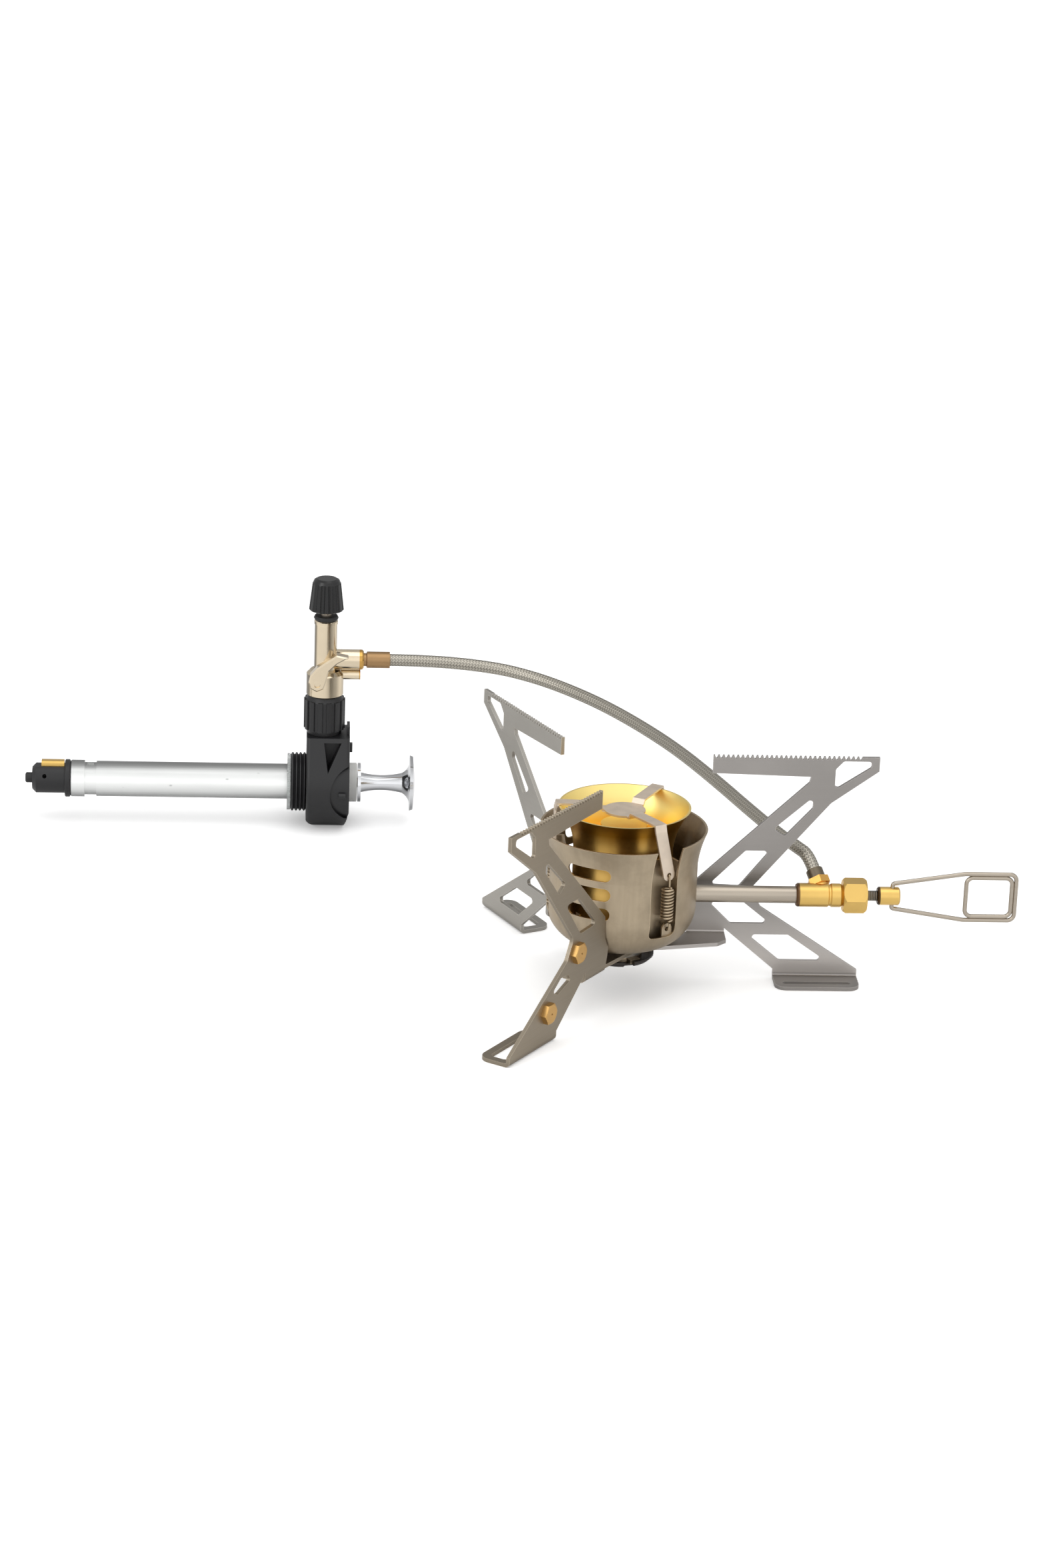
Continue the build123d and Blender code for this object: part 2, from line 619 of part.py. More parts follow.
def spring_tab():
    """The small upright tab that a clip spring's lower hook holds on to."""
    face_x = SPRING_AXIS_RADIUS - THIN_SHEET / 2
    half = TAB_WIDTH / 2
    farthest = sqrt((face_x + THIN_SHEET) ** 2 + (SPRING_SIDE + half) ** 2)
    root = cup_corner_height(farthest)
    plate = block(face_x, face_x + THIN_SHEET, -half, half, root, TAB_HOLE_LEVEL)
    plate += lying(half, face_x, face_x + THIN_SHEET, 0, TAB_HOLE_LEVEL)
    plate -= lying(HOOK_HOLE_RADIUS, face_x - 1, face_x + 2, 0, TAB_HOLE_LEVEL)
    return Pos(0, SPRING_SIDE, 0) * plate


def cup_corner_height(radius):
    """Height of the cup's outer rounded corner at a distance from its axis."""
    run = radius - (CUP_RADIUS - CUP_CORNER)
    return CUP_BOTTOM + CUP_CORNER - sqrt(CUP_CORNER ** 2 - run ** 2)


def burner_bell():
    """Brass burner drum, flared to a dished rim."""
    inner = BELL_RADIUS - THIN_SHEET
    middle = (BELL_RIM + BELL_FLARE_START) / 2
    bulge = (BELL_RIM_RADIUS - BELL_RADIUS) * 0.24
    lines = [
        Line((inner, BELL_BOTTOM), (BELL_RADIUS, BELL_BOTTOM)),
        Line((BELL_RADIUS, BELL_BOTTOM), (BELL_RADIUS, BELL_FLARE_START)),
        ThreePointArc((BELL_RADIUS, BELL_FLARE_START), (BELL_RADIUS + bulge, middle),
                      (BELL_RIM_RADIUS, BELL_RIM)),
        Line((BELL_RIM_RADIUS, BELL_RIM), (BELL_RIM_RADIUS - THIN_SHEET, BELL_RIM)),
        ThreePointArc((BELL_RIM_RADIUS - THIN_SHEET, BELL_RIM),
                      (inner + bulge * 1.6, BELL_FLOOR + (BELL_RIM - BELL_FLOOR) * 0.46),
                      (inner, BELL_FLOOR + THIN_SHEET)),
        Line((inner, BELL_FLOOR + THIN_SHEET), (BELL_THROAT, BELL_FLOOR + THIN_SHEET)),
        Line((BELL_THROAT, BELL_FLOOR + THIN_SHEET), (BELL_THROAT, BELL_FLOOR)),
        Line((BELL_THROAT, BELL_FLOOR), (inner, BELL_FLOOR)),
        Line((inner, BELL_FLOOR), (inner, BELL_BOTTOM)),
    ]
    bell = revolve(Plane.XZ * make_face(lines), Axis.Z)
    bell -= lying(TUBE_RADIUS + STACK_CLEARANCE, BELL_RADIUS * 0.6, BELL_RADIUS + 4, 0, TUBE_LEVEL)
    for index in range(AIR_WINDOWS):
        window = block(0, BELL_RADIUS + 2, -AIR_WINDOW_WIDTH / 2, AIR_WINDOW_WIDTH / 2,
                       BELL_BOTTOM + 2, BELL_BOTTOM + 2 + AIR_WINDOW_HEIGHT)
        bell -= at_azimuth(window, (index + 0.5) * 360 / AIR_WINDOWS)
    return bell


def flame_ring():
    """Brass ring in the bell's throat, with flame ports round its collar."""
    top = BELL_FLOOR + THIN_SHEET + 6.0
    wall = 1.0
    ring = turned([
        (BELL_THROAT - 2 * wall, BELL_FLOOR - 3), (BELL_THROAT - wall, BELL_FLOOR - 3),
        (BELL_THROAT - wall, BELL_FLOOR + THIN_SHEET), (BELL_THROAT + wall, BELL_FLOOR + THIN_SHEET),
        (BELL_THROAT + wall, top), (0, top), (0, top - wall), (BELL_THROAT, top - wall),
        (BELL_THROAT, BELL_FLOOR + THIN_SHEET + wall),
        (BELL_THROAT - 2 * wall, BELL_FLOOR + THIN_SHEET + wall),
    ])
    for index in range(FLAME_PORTS):
        port = block(BELL_THROAT - 1, BELL_THROAT + 3, -0.8, 0.8, top - 4.0, top - 2.0)
        ring -= at_azimuth(port, (index + 0.5) * 360 / FLAME_PORTS)
    return ring


def mixing_tube():
    """Brass tube that carries fuel vapour and air from the jet to the flame ring."""
    bottom = JET_BLOCK_TOP + JET_HEAD + 2.0
    outer = BELL_THROAT - 2.0
    mouth = outer + 1.6
    return turned([
        (mouth - 0.7, bottom), (mouth, bottom), (outer, bottom + 3),
        (outer, BELL_FLOOR + THIN_SHEET), (outer - 0.7, BELL_FLOOR + THIN_SHEET),
        (outer - 0.7, bottom + 3),
    ])


def flame_spreader():
    """Steel disc over the burner with three arms bent down outside the bell."""
    disc_top = BELL_RIM - SPREADER_DISC_DROP
    arm_level = BELL_RIM
    outside = BELL_RIM_RADIUS + 0.3
    spider = upright(SPREADER_DISC_RADIUS, disc_top - THIN_SHEET, disc_top)
    path = [
        (SPREADER_DISC_RADIUS - 1.0, disc_top - THIN_SHEET),
        (SPREADER_DISC_RADIUS + 0.6, disc_top - THIN_SHEET),
        (SPREADER_DISC_RADIUS + 1.8, disc_top + 1.0),
        (BELL_RIM_RADIUS - 2.5, arm_level + 0.1),
        (outside, arm_level + 0.1),
        (outside + 0.5, arm_level - 2.0),
        (SPREADER_ARM_END_RADIUS, SPREADER_ARM_END),
    ]
    half = SPREADER_ARM_WIDTH / 2
    tip_level = SPREADER_ARM_END + half
    bend_level = arm_level - 2.0
    front = make_face(Polyline(
        (SPREADER_ARM_SIDE - half, arm_level + 2), (SPREADER_ARM_SIDE + half, arm_level + 2),
        (SPREADER_ARM_SIDE + half, bend_level), (SPRING_SIDE + half, tip_level),
        (SPRING_SIDE - half, tip_level), (SPREADER_ARM_SIDE - half, bend_level), close=True))
    front += Pos(SPRING_SIDE, tip_level) * Circle(half)
    arm = bent_strip(path, THIN_SHEET, 4 * SPREADER_ARM_WIDTH)
    arm = arm & extrude(Plane.YZ * front, amount=outside + 4 * THIN_SHEET)
    hook_level = SPREADER_ARM_END + HOOK_HOLE_INSET
    arm -= lying(HOOK_HOLE_RADIUS, SPREADER_ARM_END_RADIUS - 2, outside + 4 * THIN_SHEET,
                 SPRING_SIDE, hook_level)
    for azimuth in SPREADER_ARMS:
        spider += at_azimuth(arm, azimuth)
    return spider


def bent_strip(path, thickness, width):
    """A strip of sheet whose lower or inner face follows a path of (X, Z) points."""
    outer = []
    for index, (x, z) in enumerate(path):
        before = path[max(index - 1, 0)]
        after = path[min(index + 1, len(path) - 1)]
        angle_in = atan2(z - before[1], x - before[0]) if index else None
        angle_out = atan2(after[1] - z, after[0] - x) if index < len(path) - 1 else None
        angle_in = angle_out if angle_in is None else angle_in
        angle_out = angle_in if angle_out is None else angle_out
        middle = (angle_in + angle_out) / 2
        reach = thickness / cos((angle_out - angle_in) / 2)
        outer.append((x - reach * sin(middle), z + reach * cos(middle)))
    face = make_face(Polyline(*(path + outer[::-1]), close=True))
    return standing(face, -width / 2, width)


def biarc(start, start_way, end, end_way):
    """Two tangent arcs between two points with a direction at each."""
    gap = end - start
    turn = 1 - start_way.dot(end_way)
    along = gap.dot(start_way + end_way)
    reach = (-along + sqrt(along ** 2 + 2 * turn * gap.dot(gap))) / (2 * turn)
    middle = (start + end + (start_way - end_way) * reach) * 0.5
    first = TangentArc(start, middle, tangent=start_way)
    second = TangentArc(middle, end, tangent=first % 1)
    return [first, second]


def clip_spring():
    """One close-wound tension spring on the +X side, as one unbroken tube."""
    wire = SPRING_WIRE
    height = SPRING_TOP - SPRING_BOTTOM - 2 * wire
    pitch = height / SPRING_TURNS
    rise = pitch / (2 * pi * SPRING_RADIUS)
    steps = SPRING_TURNS * 4
    places = []
    ways = []
    for step in range(steps + 1):
        angle = step * pi / 2
        level = SPRING_BOTTOM + wire + height * step / steps
        places.append(Vector(SPRING_AXIS_RADIUS + SPRING_RADIUS * cos(angle),
                             SPRING_SIDE + SPRING_RADIUS * sin(angle), level))
        ways.append(Vector(-sin(angle), cos(angle), rise).normalized())
    edges = [Line(places[0] - ways[0] * 2 * wire, places[0])]
    for step in range(steps):
        edges += biarc(places[step], ways[step], places[step + 1], ways[step + 1])
    edges.append(Line(places[-1], places[-1] + ways[-1] * 2 * wire))
    path = Wire(edges)
    profile = Plane(origin=path @ 0, z_dir=path % 0) * Circle(wire)
    print("clip spring: least gap to itself %.2f mm" % (pitch - 2 * wire))
    return sweep(profile, path=path)


def wire_along(points, radii, wire):
    """A round wire along straight runs with rounded corners."""
    path = FilletPolyline(*points, radius=radii)
    profile = Plane(origin=path @ 0, z_dir=path % 0) * Circle(wire)
    return sweep(profile, path=path)


def spring_hooks():
    """The hooks at both ends of each clip spring."""
    wire = SPRING_WIRE
    bend = 1.5 * wire
    arm_hole = SPREADER_ARM_END + HOOK_HOLE_INSET
    above = SPRING_TOP + wire + RUNNING_CLEARANCE
    below = SPRING_BOTTOM - wire - RUNNING_CLEARANCE
    side = SPRING_AXIS_RADIUS + SPRING_RADIUS
    before_arm = SPREADER_ARM_END_RADIUS + THIN_SHEET + 1.5 * wire
    behind_arm = SPREADER_ARM_END_RADIUS - 3 * wire
    before_tab = SPRING_AXIS_RADIUS + 4 * wire
    behind_tab = SPRING_AXIS_RADIUS - 3.25 * wire
    at_side = SPRING_SIDE
    upper = wire_along([(side, at_side, above), (before_arm, at_side, above),
                        (before_arm, at_side, arm_hole), (behind_arm, at_side, arm_hole),
                        (behind_arm, at_side, arm_hole - 5.5 * wire)], [bend] * 3, wire)
    lower = wire_along([(side, at_side, below), (before_tab, at_side, TAB_HOLE_LEVEL),
                        (behind_tab, at_side, TAB_HOLE_LEVEL),
                        (behind_tab, at_side, TAB_HOLE_LEVEL + 4.5 * wire)], [bend] * 2, wire)
    pieces = []
    for azimuth in SPREADER_ARMS:
        pieces.append(at_azimuth(upper, azimuth))
        pieces.append(at_azimuth(lower, azimuth))
    return Compound(children=pieces)


def clip_springs():
    """The three clip springs."""
    spring = clip_spring()
    return Compound(children=[at_azimuth(spring, azimuth) for azimuth in SPREADER_ARMS])


def hub_plate():
    """The washer plate with three ears that carries the stack of leg tabs."""
    plate = upright(HUB_TAB_RADIUS, DISH_FLOOR_TOP, HUB_PLATE_TOP)
    for azimuth in SPREADER_ARMS:
        ear = block(0, HUB_TAB_RADIUS + 2.6, -2.2, 2.2, DISH_FLOOR_TOP, HUB_PLATE_TOP)
        plate += at_azimuth(ear, azimuth)
    return plate - upright(HUB_HOLE_RADIUS, DISH_FLOOR_TOP - 1, HUB_PLATE_TOP + 1)


def priming_dish():
    """Shallow dish under the hub, with a notch at the front."""
    floor = DISH_FLOOR_TOP - DISH_THICKNESS
    rim = HUB_PLATE_TOP - STACK_CLEARANCE
    dish = turned([
        (HUB_HOLE_RADIUS, floor), (DISH_RADIUS - 1.4, floor), (DISH_RADIUS, floor + 1.4),
        (DISH_RADIUS, rim), (DISH_RADIUS - DISH_THICKNESS, rim),
        (DISH_RADIUS - DISH_THICKNESS, floor + 1.8), (DISH_RADIUS - 1.8, DISH_FLOOR_TOP),
        (HUB_HOLE_RADIUS, DISH_FLOOR_TOP),
    ])
    notch = block(DISH_RADIUS - 2.6, DISH_RADIUS + 2, -DISH_NOTCH_WIDTH / 2,
                  DISH_NOTCH_WIDTH / 2, floor - 1, rim + 1)
    return dish - at_azimuth(notch, -75)


def hub_screw():
    """Screw that the two folding legs swing on."""
    top = CUP_FLOOR + HUB_NUT_HEIGHT + 0.8
    screw = upright(HUB_SCREW_RADIUS, SCREW_HEAD_TOP, top)
    head = upright(SCREW_HEAD_RADIUS, SCREW_HEAD_TOP - SCREW_HEAD_HEIGHT, SCREW_HEAD_TOP)
    head = chamfer(head.edges().sort_by(Axis.Z)[0], 0.6)
    slot = block(-SCREW_HEAD_RADIUS, SCREW_HEAD_RADIUS, -0.6, 0.6,
                 SCREW_HEAD_TOP - SCREW_HEAD_HEIGHT - 1, SCREW_HEAD_TOP - SCREW_HEAD_HEIGHT + 0.8)
    return screw + (head - slot)


def hub_nut():
    """Nut on the hub screw, inside the cup."""
    nut = Pos(0, 0, CUP_FLOOR) * extrude(hexagon(HUB_NUT_FLATS), amount=HUB_NUT_HEIGHT)
    return nut - upright(HUB_SCREW_RADIUS, CUP_FLOOR - 1, CUP_FLOOR + HUB_NUT_HEIGHT + 1)


def priming_pad():
    """Fibre pad that holds priming fuel in the cup's floor."""
    inner = HUB_NUT_FLATS * 0.6 + 0.4
    outer = CUP_RADIUS - CUP_CORNER - 0.3
    pad = upright(outer, CUP_FLOOR, CUP_FLOOR + PAD_HEIGHT)
    pad -= upright(inner, CUP_FLOOR - 1, CUP_FLOOR + PAD_HEIGHT + 1)
    return pad


def jet_block():
    """Brass block under the bell that the tube feeds and the jet is screwed into."""
    bottom = CUP_FLOOR + HUB_NUT_HEIGHT + 0.8
    shoulder = TUBE_LEVEL - TUBE_RADIUS - 2.0
    body = upright(JET_BLOCK_RADIUS, shoulder, JET_BLOCK_TOP)
    body += upright(JET_BLOCK_STEM_RADIUS, bottom, shoulder)
    body -= lying(TUBE_RADIUS, JET_BLOCK_RADIUS - 3, JET_BLOCK_RADIUS + 2, 0, TUBE_LEVEL)
    body -= lying(TUBE_RADIUS - TUBE_WALL, 0, JET_BLOCK_RADIUS, 0, TUBE_LEVEL)
    body -= upright(JET_THREAD_RADIUS, JET_BLOCK_TOP - JET_SHANK, JET_BLOCK_TOP + 1)
    return body - upright(1.0, TUBE_LEVEL, JET_BLOCK_TOP)


def fuel_tube():
    """Steel tube from the valve block through the cup and the bell to the jet block."""
    tube = lying(TUBE_RADIUS, JET_BLOCK_RADIUS - 3, BLOCK_START, 0, TUBE_LEVEL)
    return tube - lying(TUBE_RADIUS - TUBE_WALL, 0, BLOCK_START + 1, 0, TUBE_LEVEL)


def valve_block():
    """Brass block where the hose joins the tube and the flame spindle seats."""
    groove_x = BLOCK_START + BLOCK_LENGTH * 0.68
    outline = [
        (BLOCK_START, 0), (BLOCK_START, BLOCK_RADIUS - 0.5), (BLOCK_START + 0.6, BLOCK_RADIUS),
        (groove_x, BLOCK_RADIUS), (groove_x + 0.4, BLOCK_RADIUS - 0.4),
        (groove_x + 1.0, BLOCK_RADIUS - 0.4), (groove_x + 1.4, BLOCK_RADIUS),
        (BLOCK_END - 1.0, BLOCK_RADIUS), (BLOCK_END, BLOCK_RADIUS - 0.7), (BLOCK_END, 0),
    ]
    body = turned_along_x(outline, 0, TUBE_LEVEL)
    body -= pointing(1.2, PORT_ROOT, PORT_AXIS, BLOCK_RADIUS + 2)
    needle_bore = SPINDLE_RADIUS + RUNNING_CLEARANCE
    body -= lying(needle_bore, BLOCK_END - 6.0, BLOCK_END + 1, 0, TUBE_LEVEL)
    return body - lying(1.2, BLOCK_START - 1, BLOCK_END - 6.0, 0, TUBE_LEVEL)


def hose_port():
    """Angled brass port on the valve block, with a hexagon at its end."""
    port = pointing(PORT_RADIUS, PORT_ROOT, PORT_AXIS, PORT_LENGTH)
    nut_base = Plane(origin=PORT_ROOT + PORT_AXIS * (PORT_LENGTH - PORT_NUT_LENGTH), z_dir=PORT_AXIS)
    port += extrude(nut_base * hexagon(PORT_NUT_FLATS), amount=PORT_NUT_LENGTH)
    port -= lying(BLOCK_RADIUS, BLOCK_START - 5, BLOCK_END + 5, 0, TUBE_LEVEL)
    return port - pointing(1.2, PORT_ROOT, PORT_AXIS, PORT_LENGTH + 1)


def stove_ferrule():
    """Bronze ferrule crimped on the hose's end at the stove."""
    start = PORT_ROOT + PORT_AXIS * PORT_LENGTH
    ferrule = pointing(FERRULE_RADIUS, start, PORT_AXIS, FERRULE_LENGTH)
    return ferrule - pointing(1.2, start, PORT_AXIS, FERRULE_LENGTH)


def gland_nut():
    """Hexagon gland nut that presses the packing round the spindle."""
    plane = Plane.YZ.offset(BLOCK_END)
    nut = extrude(plane * hexagon(GLAND_FLATS), amount=GLAND_LENGTH)
    nut = Pos(0, 0, TUBE_LEVEL) * nut
    corner = GLAND_FLATS / sqrt(3)
    shape = turned_along_x([
        (BLOCK_END, 0), (BLOCK_END, corner - 0.9), (BLOCK_END + 1.2, corner + 0.1),
        (GLAND_END - 1.2, corner + 0.1), (GLAND_END, corner - 0.9), (GLAND_END, 0),
    ], 0, TUBE_LEVEL)
    nut = nut & shape
    nut -= lying(SPINDLE_RADIUS + RUNNING_CLEARANCE, BLOCK_END - 1, GLAND_END + 1, 0, TUBE_LEVEL)
    return nut - lying(SPINDLE_RADIUS + 1.2, BLOCK_END - 1, BLOCK_END + 4, 0, TUBE_LEVEL)


def gland_packing():
    """Packing ring in the gland nut."""
    ring = lying(SPINDLE_RADIUS + 1.2, BLOCK_END, BLOCK_END + 4, 0, TUBE_LEVEL)
    bore = SPINDLE_RADIUS + RUNNING_CLEARANCE
    return ring - lying(bore, BLOCK_END - 1, BLOCK_END + 5, 0, TUBE_LEVEL)


def flame_spindle():
    """Steel needle spindle of the flame valve."""
    tip = BLOCK_END - 5.5
    spindle = lying(SPINDLE_RADIUS, tip, COUPLER_START + 2, 0, TUBE_LEVEL)
    return chamfer(spindle.edges().sort_by(Axis.X)[0], 0.8)


def handle_coupler():
    """Brass coupler on the spindle, cross-drilled for the wire handle."""
    outline = [
        (COUPLER_START, 0), (COUPLER_START, COUPLER_RADIUS - 0.5),
        (COUPLER_START + 0.5, COUPLER_RADIUS), (COUPLER_END - 0.5, COUPLER_RADIUS),
        (COUPLER_END, COUPLER_RADIUS - 0.5), (COUPLER_END, 0),
    ]
    body = turned_along_x(outline, 0, TUBE_LEVEL)
    body -= lying(SPINDLE_RADIUS, COUPLER_START - 1, COUPLER_START + 2, 0, TUBE_LEVEL)
    hole = WIRE_RADIUS + RUNNING_CLEARANCE
    reach = COUPLER_RADIUS + 1
    return body - upright(hole, TUBE_LEVEL - reach, TUBE_LEVEL + reach, CROSS_HOLE_X)


def wire_handle():
    """Bent wire handle: two arms from the cross hole to a doubled square loop."""
    far = CROSS_HOLE_X + HANDLE_REACH
    near_z = COUPLER_RADIUS + WIRE_RADIUS + 0.5
    end_z = COUPLER_RADIUS - 1.4
    half = HANDLE_HALF_HEIGHT
    knee = far - HANDLE_LOOP
    points = []
    for x, z in ((CROSS_HOLE_X, end_z), (CROSS_HOLE_X, near_z + 0.2), (knee, half),
                 (far, half), (far, -half), (knee, -half), (CROSS_HOLE_X, -near_z - 0.2),
                 (CROSS_HOLE_X, -end_z)):
        points.append((x, 0, TUBE_LEVEL + z))
    corners = [1.0, 8.0, HANDLE_CORNER, HANDLE_CORNER, 8.0, 1.0]
    frame = wire_along(points, corners, WIRE_RADIUS)
    inset = 2 * WIRE_RADIUS - 0.15
    loop_half = half - inset
    loop_far = far - inset
    loop_near = knee + 0.6
    centre_x = (loop_far + loop_near) / 2
    outline = RectangleRounded(loop_far - loop_near, 2 * loop_half, HANDLE_CORNER)
    ring_path = (Plane.XZ * outline).wire()
    profile = Plane(origin=ring_path @ 0, z_dir=ring_path % 0) * Circle(WIRE_RADIUS)
    ring = sweep(profile, path=ring_path)
    return frame + Pos(centre_x, 0, TUBE_LEVEL) * ring


def hose_route():
    """Every point of the hose, from the pump's ferrule to the stove's."""
    points = [HOSE_PUMP_END, HOSE_PUMP_END + Vector(HOSE_FIRST_RUN, 0, 0)]
    points += [Vector(*point) for point in HOSE_POINTS]
    points.append(HOSE_STOVE_END + PORT_AXIS * HOSE_LAST_RUN)
    points.append(HOSE_STOVE_END)
    return points


def corner_radii(points):
    """Arc radius at each corner: 0.45 of the shorter run over the tangent of half the turn."""
    radii = []
    for before, here, after in zip(points, points[1:], points[2:]):
        first = here - before
        second = after - here
        turn = radians(first.get_angle(second))
        radii.append(0.45 * min(first.length, second.length) / tan(turn / 2))
    return radii


def fuel_hose():
    """Braided fuel hose from the pump to the stove."""
    points = hose_route()
    radii = corner_radii(points)
    path = FilletPolyline(*points, radius=radii)
    profile = Plane(origin=path @ 0, z_dir=path % 0) * Circle(HOSE_RADIUS)
    hose = sweep(profile, path=path)
    runs = [(second - first).length for first, second in zip(points, points[1:])]
    print("hose runs", [round(run, 1) for run in runs])
    print("hose corner radii", [round(radius, 1) for radius in radii])
    print("hose length %.1f, volume %.1f, section times length %.1f" % (
        path.length, hose.volume, pi * HOSE_RADIUS ** 2 * path.length))
    return hose


def head_shoulder():
    """Point where the head's sloping side leaves its round part, from the pump's axis."""
    rise = HEAD_TOP - PUMP_AXIS
    reach = sqrt(HEAD_BOX_HALF_WIDTH ** 2 + rise ** 2)
    angle = atan2(rise, HEAD_BOX_HALF_WIDTH) - acos(HEAD_RADIUS / reach)
    return (HEAD_RADIUS * cos(angle), PUMP_AXIS + HEAD_RADIUS * sin(angle))


def pump_head():
    """Black moulded head with the bottle thread and the sockets for barrel and tower."""
    axis = (PUMP_Y, PUMP_AXIS)
    half = HEAD_BOX_HALF_WIDTH
    shoulder = head_shoulder()
    drum = lying(HEAD_RADIUS, PUMP_HEAD_FACE, HEAD_END, *axis)
    neck = Plane.YZ.offset(PUMP_HEAD_FACE) * make_face(Polyline(
        (-shoulder[0], shoulder[1]), (-half, HEAD_TOP), (half, HEAD_TOP), shoulder, close=True))
    head = drum + Pos(0, PUMP_Y, 0) * extrude(neck, amount=HEAD_LENGTH)
    side_view = make_face(Polyline(
        (PUMP_HEAD_FACE, HEAD_FACE_CHAMFER[1]), (PUMP_HEAD_FACE + HEAD_FACE_CHAMFER[0], 0),
        (HEAD_END - HEAD_BACK_CHAMFER[0], 0), (HEAD_END, HEAD_BACK_CHAMFER[1]),
        (HEAD_END, HEAD_TOP), (PUMP_HEAD_FACE, HEAD_TOP), close=True))
    head = head & standing(side_view, PUMP_Y - 2 * HEAD_RADIUS, 4 * HEAD_RADIUS)
    upper = [edge for edge in head.edges().filter_by(GeomType.LINE)
             if abs(edge.tangent_at(0.5).X) < 0.01 and edge.center().Z > shoulder[1]
             and edge.center().Z < HEAD_TOP - 0.1]
    head = fillet(upper, HEAD_EDGE)
    recess = Pos(PUMP_HEAD_FACE, 0) * make_face(Polyline(*HEAD_RECESS, close=True))
    for near in (PUMP_Y - HEAD_RADIUS, PUMP_Y + half - HEAD_RECESS_DEPTH):
        head -= standing(recess, near, HEAD_RADIUS - half + HEAD_RECESS_DEPTH)
    head -= head_scoop()
    rib = lying(1.3, HEAD_END - 4.4, HEAD_END - 1.6, PUMP_Y - HEAD_RADIUS + 0.6, PUMP_AXIS)
    head += rib
    root = THREAD_RADIUS - THREAD_DEPTH
    outline = [(PUMP_HEAD_FACE + 1, 0), (PUMP_HEAD_FACE + 1, root)]
    crests = int(THREAD_LENGTH / THREAD_PITCH)
    for index in range(crests):
        at = PUMP_HEAD_FACE - index * THREAD_PITCH
        outline.append((at, root))
        outline.append((at - THREAD_PITCH * 0.35, THREAD_RADIUS))
        outline.append((at - THREAD_PITCH * 0.6, THREAD_RADIUS))
        outline.append((at - THREAD_PITCH * 0.95, root))
    thread_end = PUMP_HEAD_FACE - THREAD_LENGTH
    outline.append((thread_end, root))
    outline.append((thread_end, 0))
    head += turned_along_x(outline, *axis)
    head += block(HEAD_END, HEAD_END + HEAD_LUG_LENGTH, PUMP_Y - 3, PUMP_Y - 1, *HEAD_PEG_LEVELS)
    head += block(HEAD_END - HEAD_LUG_LENGTH, HEAD_END, PUMP_Y - 4, PUMP_Y + 4,
                  HEAD_TOP - 1, HEAD_TOP + HEAD_LUG_HEIGHT)
    head -= lying(BARREL_RADIUS, thread_end - 1, PUMP_HEAD_FACE + 2, *axis)
    head -= lying(ROD_RADIUS + 1.0, PUMP_HEAD_FACE, HEAD_END + 1, *axis)
    head -= lying(GUIDE_RADIUS - 2.3, HEAD_END - GUIDE_DEPTH, HEAD_END + 1, *axis)
    return head - upright(TOWER_STEM_RADIUS, HEAD_TOP - TOWER_STEM_DEPTH, HEAD_TOP + 1,
                          TOWER_X, PUMP_Y)


def head_scoop():
    """The hollow at the head's front that leaves a curved ridge beside it."""
    start, middle, end = HEAD_SCOOP
    lines = [
        ThreePointArc(start, middle, end),
        Line(end, (HEAD_LENGTH + 1, end[1])),
        Line((HEAD_LENGTH + 1, end[1]), (HEAD_LENGTH + 1, start[1])),
        Line((HEAD_LENGTH + 1, start[1]), start),
    ]
    face = Pos(PUMP_HEAD_FACE, 0) * make_face(lines)
    shell = lying(HEAD_RADIUS + 1, PUMP_HEAD_FACE, HEAD_END + 1, PUMP_Y, PUMP_AXIS)
    shell -= lying(HEAD_RADIUS - HEAD_SCOOP_DEPTH, PUMP_HEAD_FACE, HEAD_END + 1, PUMP_Y, PUMP_AXIS)
    return shell & standing(face, PUMP_Y - 2 * HEAD_RADIUS, 2 * HEAD_RADIUS)


def bottle_seal():
    """Clear sealing washer behind the bottle thread."""
    thread_end = PUMP_HEAD_FACE - THREAD_LENGTH
    washer = lying(SEAL_RADIUS, thread_end - SEAL_THICKNESS, thread_end, PUMP_Y, PUMP_AXIS)
    return washer - lying(BARREL_RADIUS, thread_end - 3, thread_end + 1, PUMP_Y, PUMP_AXIS)


def pump_barrel():
    """Pump barrel tube, seated in the head."""
    end = PUMP_HEAD_FACE + 2
    tube = lying(BARREL_RADIUS, BARREL_END, end, PUMP_Y, PUMP_AXIS)
    return tube - lying(BORE_RADIUS, BARREL_END - 1, end + 1, PUMP_Y, PUMP_AXIS)


def barrel_sleeve():
    """Valve sleeve on the barrel's end, with a necked band and a port window."""
    outline = [
        (BARREL_END, 0), (BARREL_END, SLEEVE_BAND_RADIUS),
        (BARREL_END - SLEEVE_BAND, SLEEVE_BAND_RADIUS), (BARREL_END - SLEEVE_BAND, SLEEVE_RADIUS),
        (SLEEVE_END + 0.6, SLEEVE_RADIUS), (SLEEVE_END, SLEEVE_RADIUS - 0.6), (SLEEVE_END, 0),
    ]
    body = turned_along_x(outline, PUMP_Y, PUMP_AXIS)
    window_x = BARREL_END - SLEEVE_BAND / 2
    body -= block(window_x - 1.4, window_x + 1.4, PUMP_Y - 2.2, PUMP_Y + 2.2,
                  PUMP_AXIS + SLEEVE_WINDOW_FLOOR, PUMP_AXIS + SLEEVE_BAND_RADIUS + 1)
    body -= lying(CHECK_CAVITY_RADIUS, SLEEVE_END - 1, SLEEVE_END + CHECK_CAVITY_LENGTH,
                  PUMP_Y, PUMP_AXIS)
    return body - lying(0.9, SLEEVE_END, BARREL_END + 1, PUMP_Y, PUMP_AXIS)


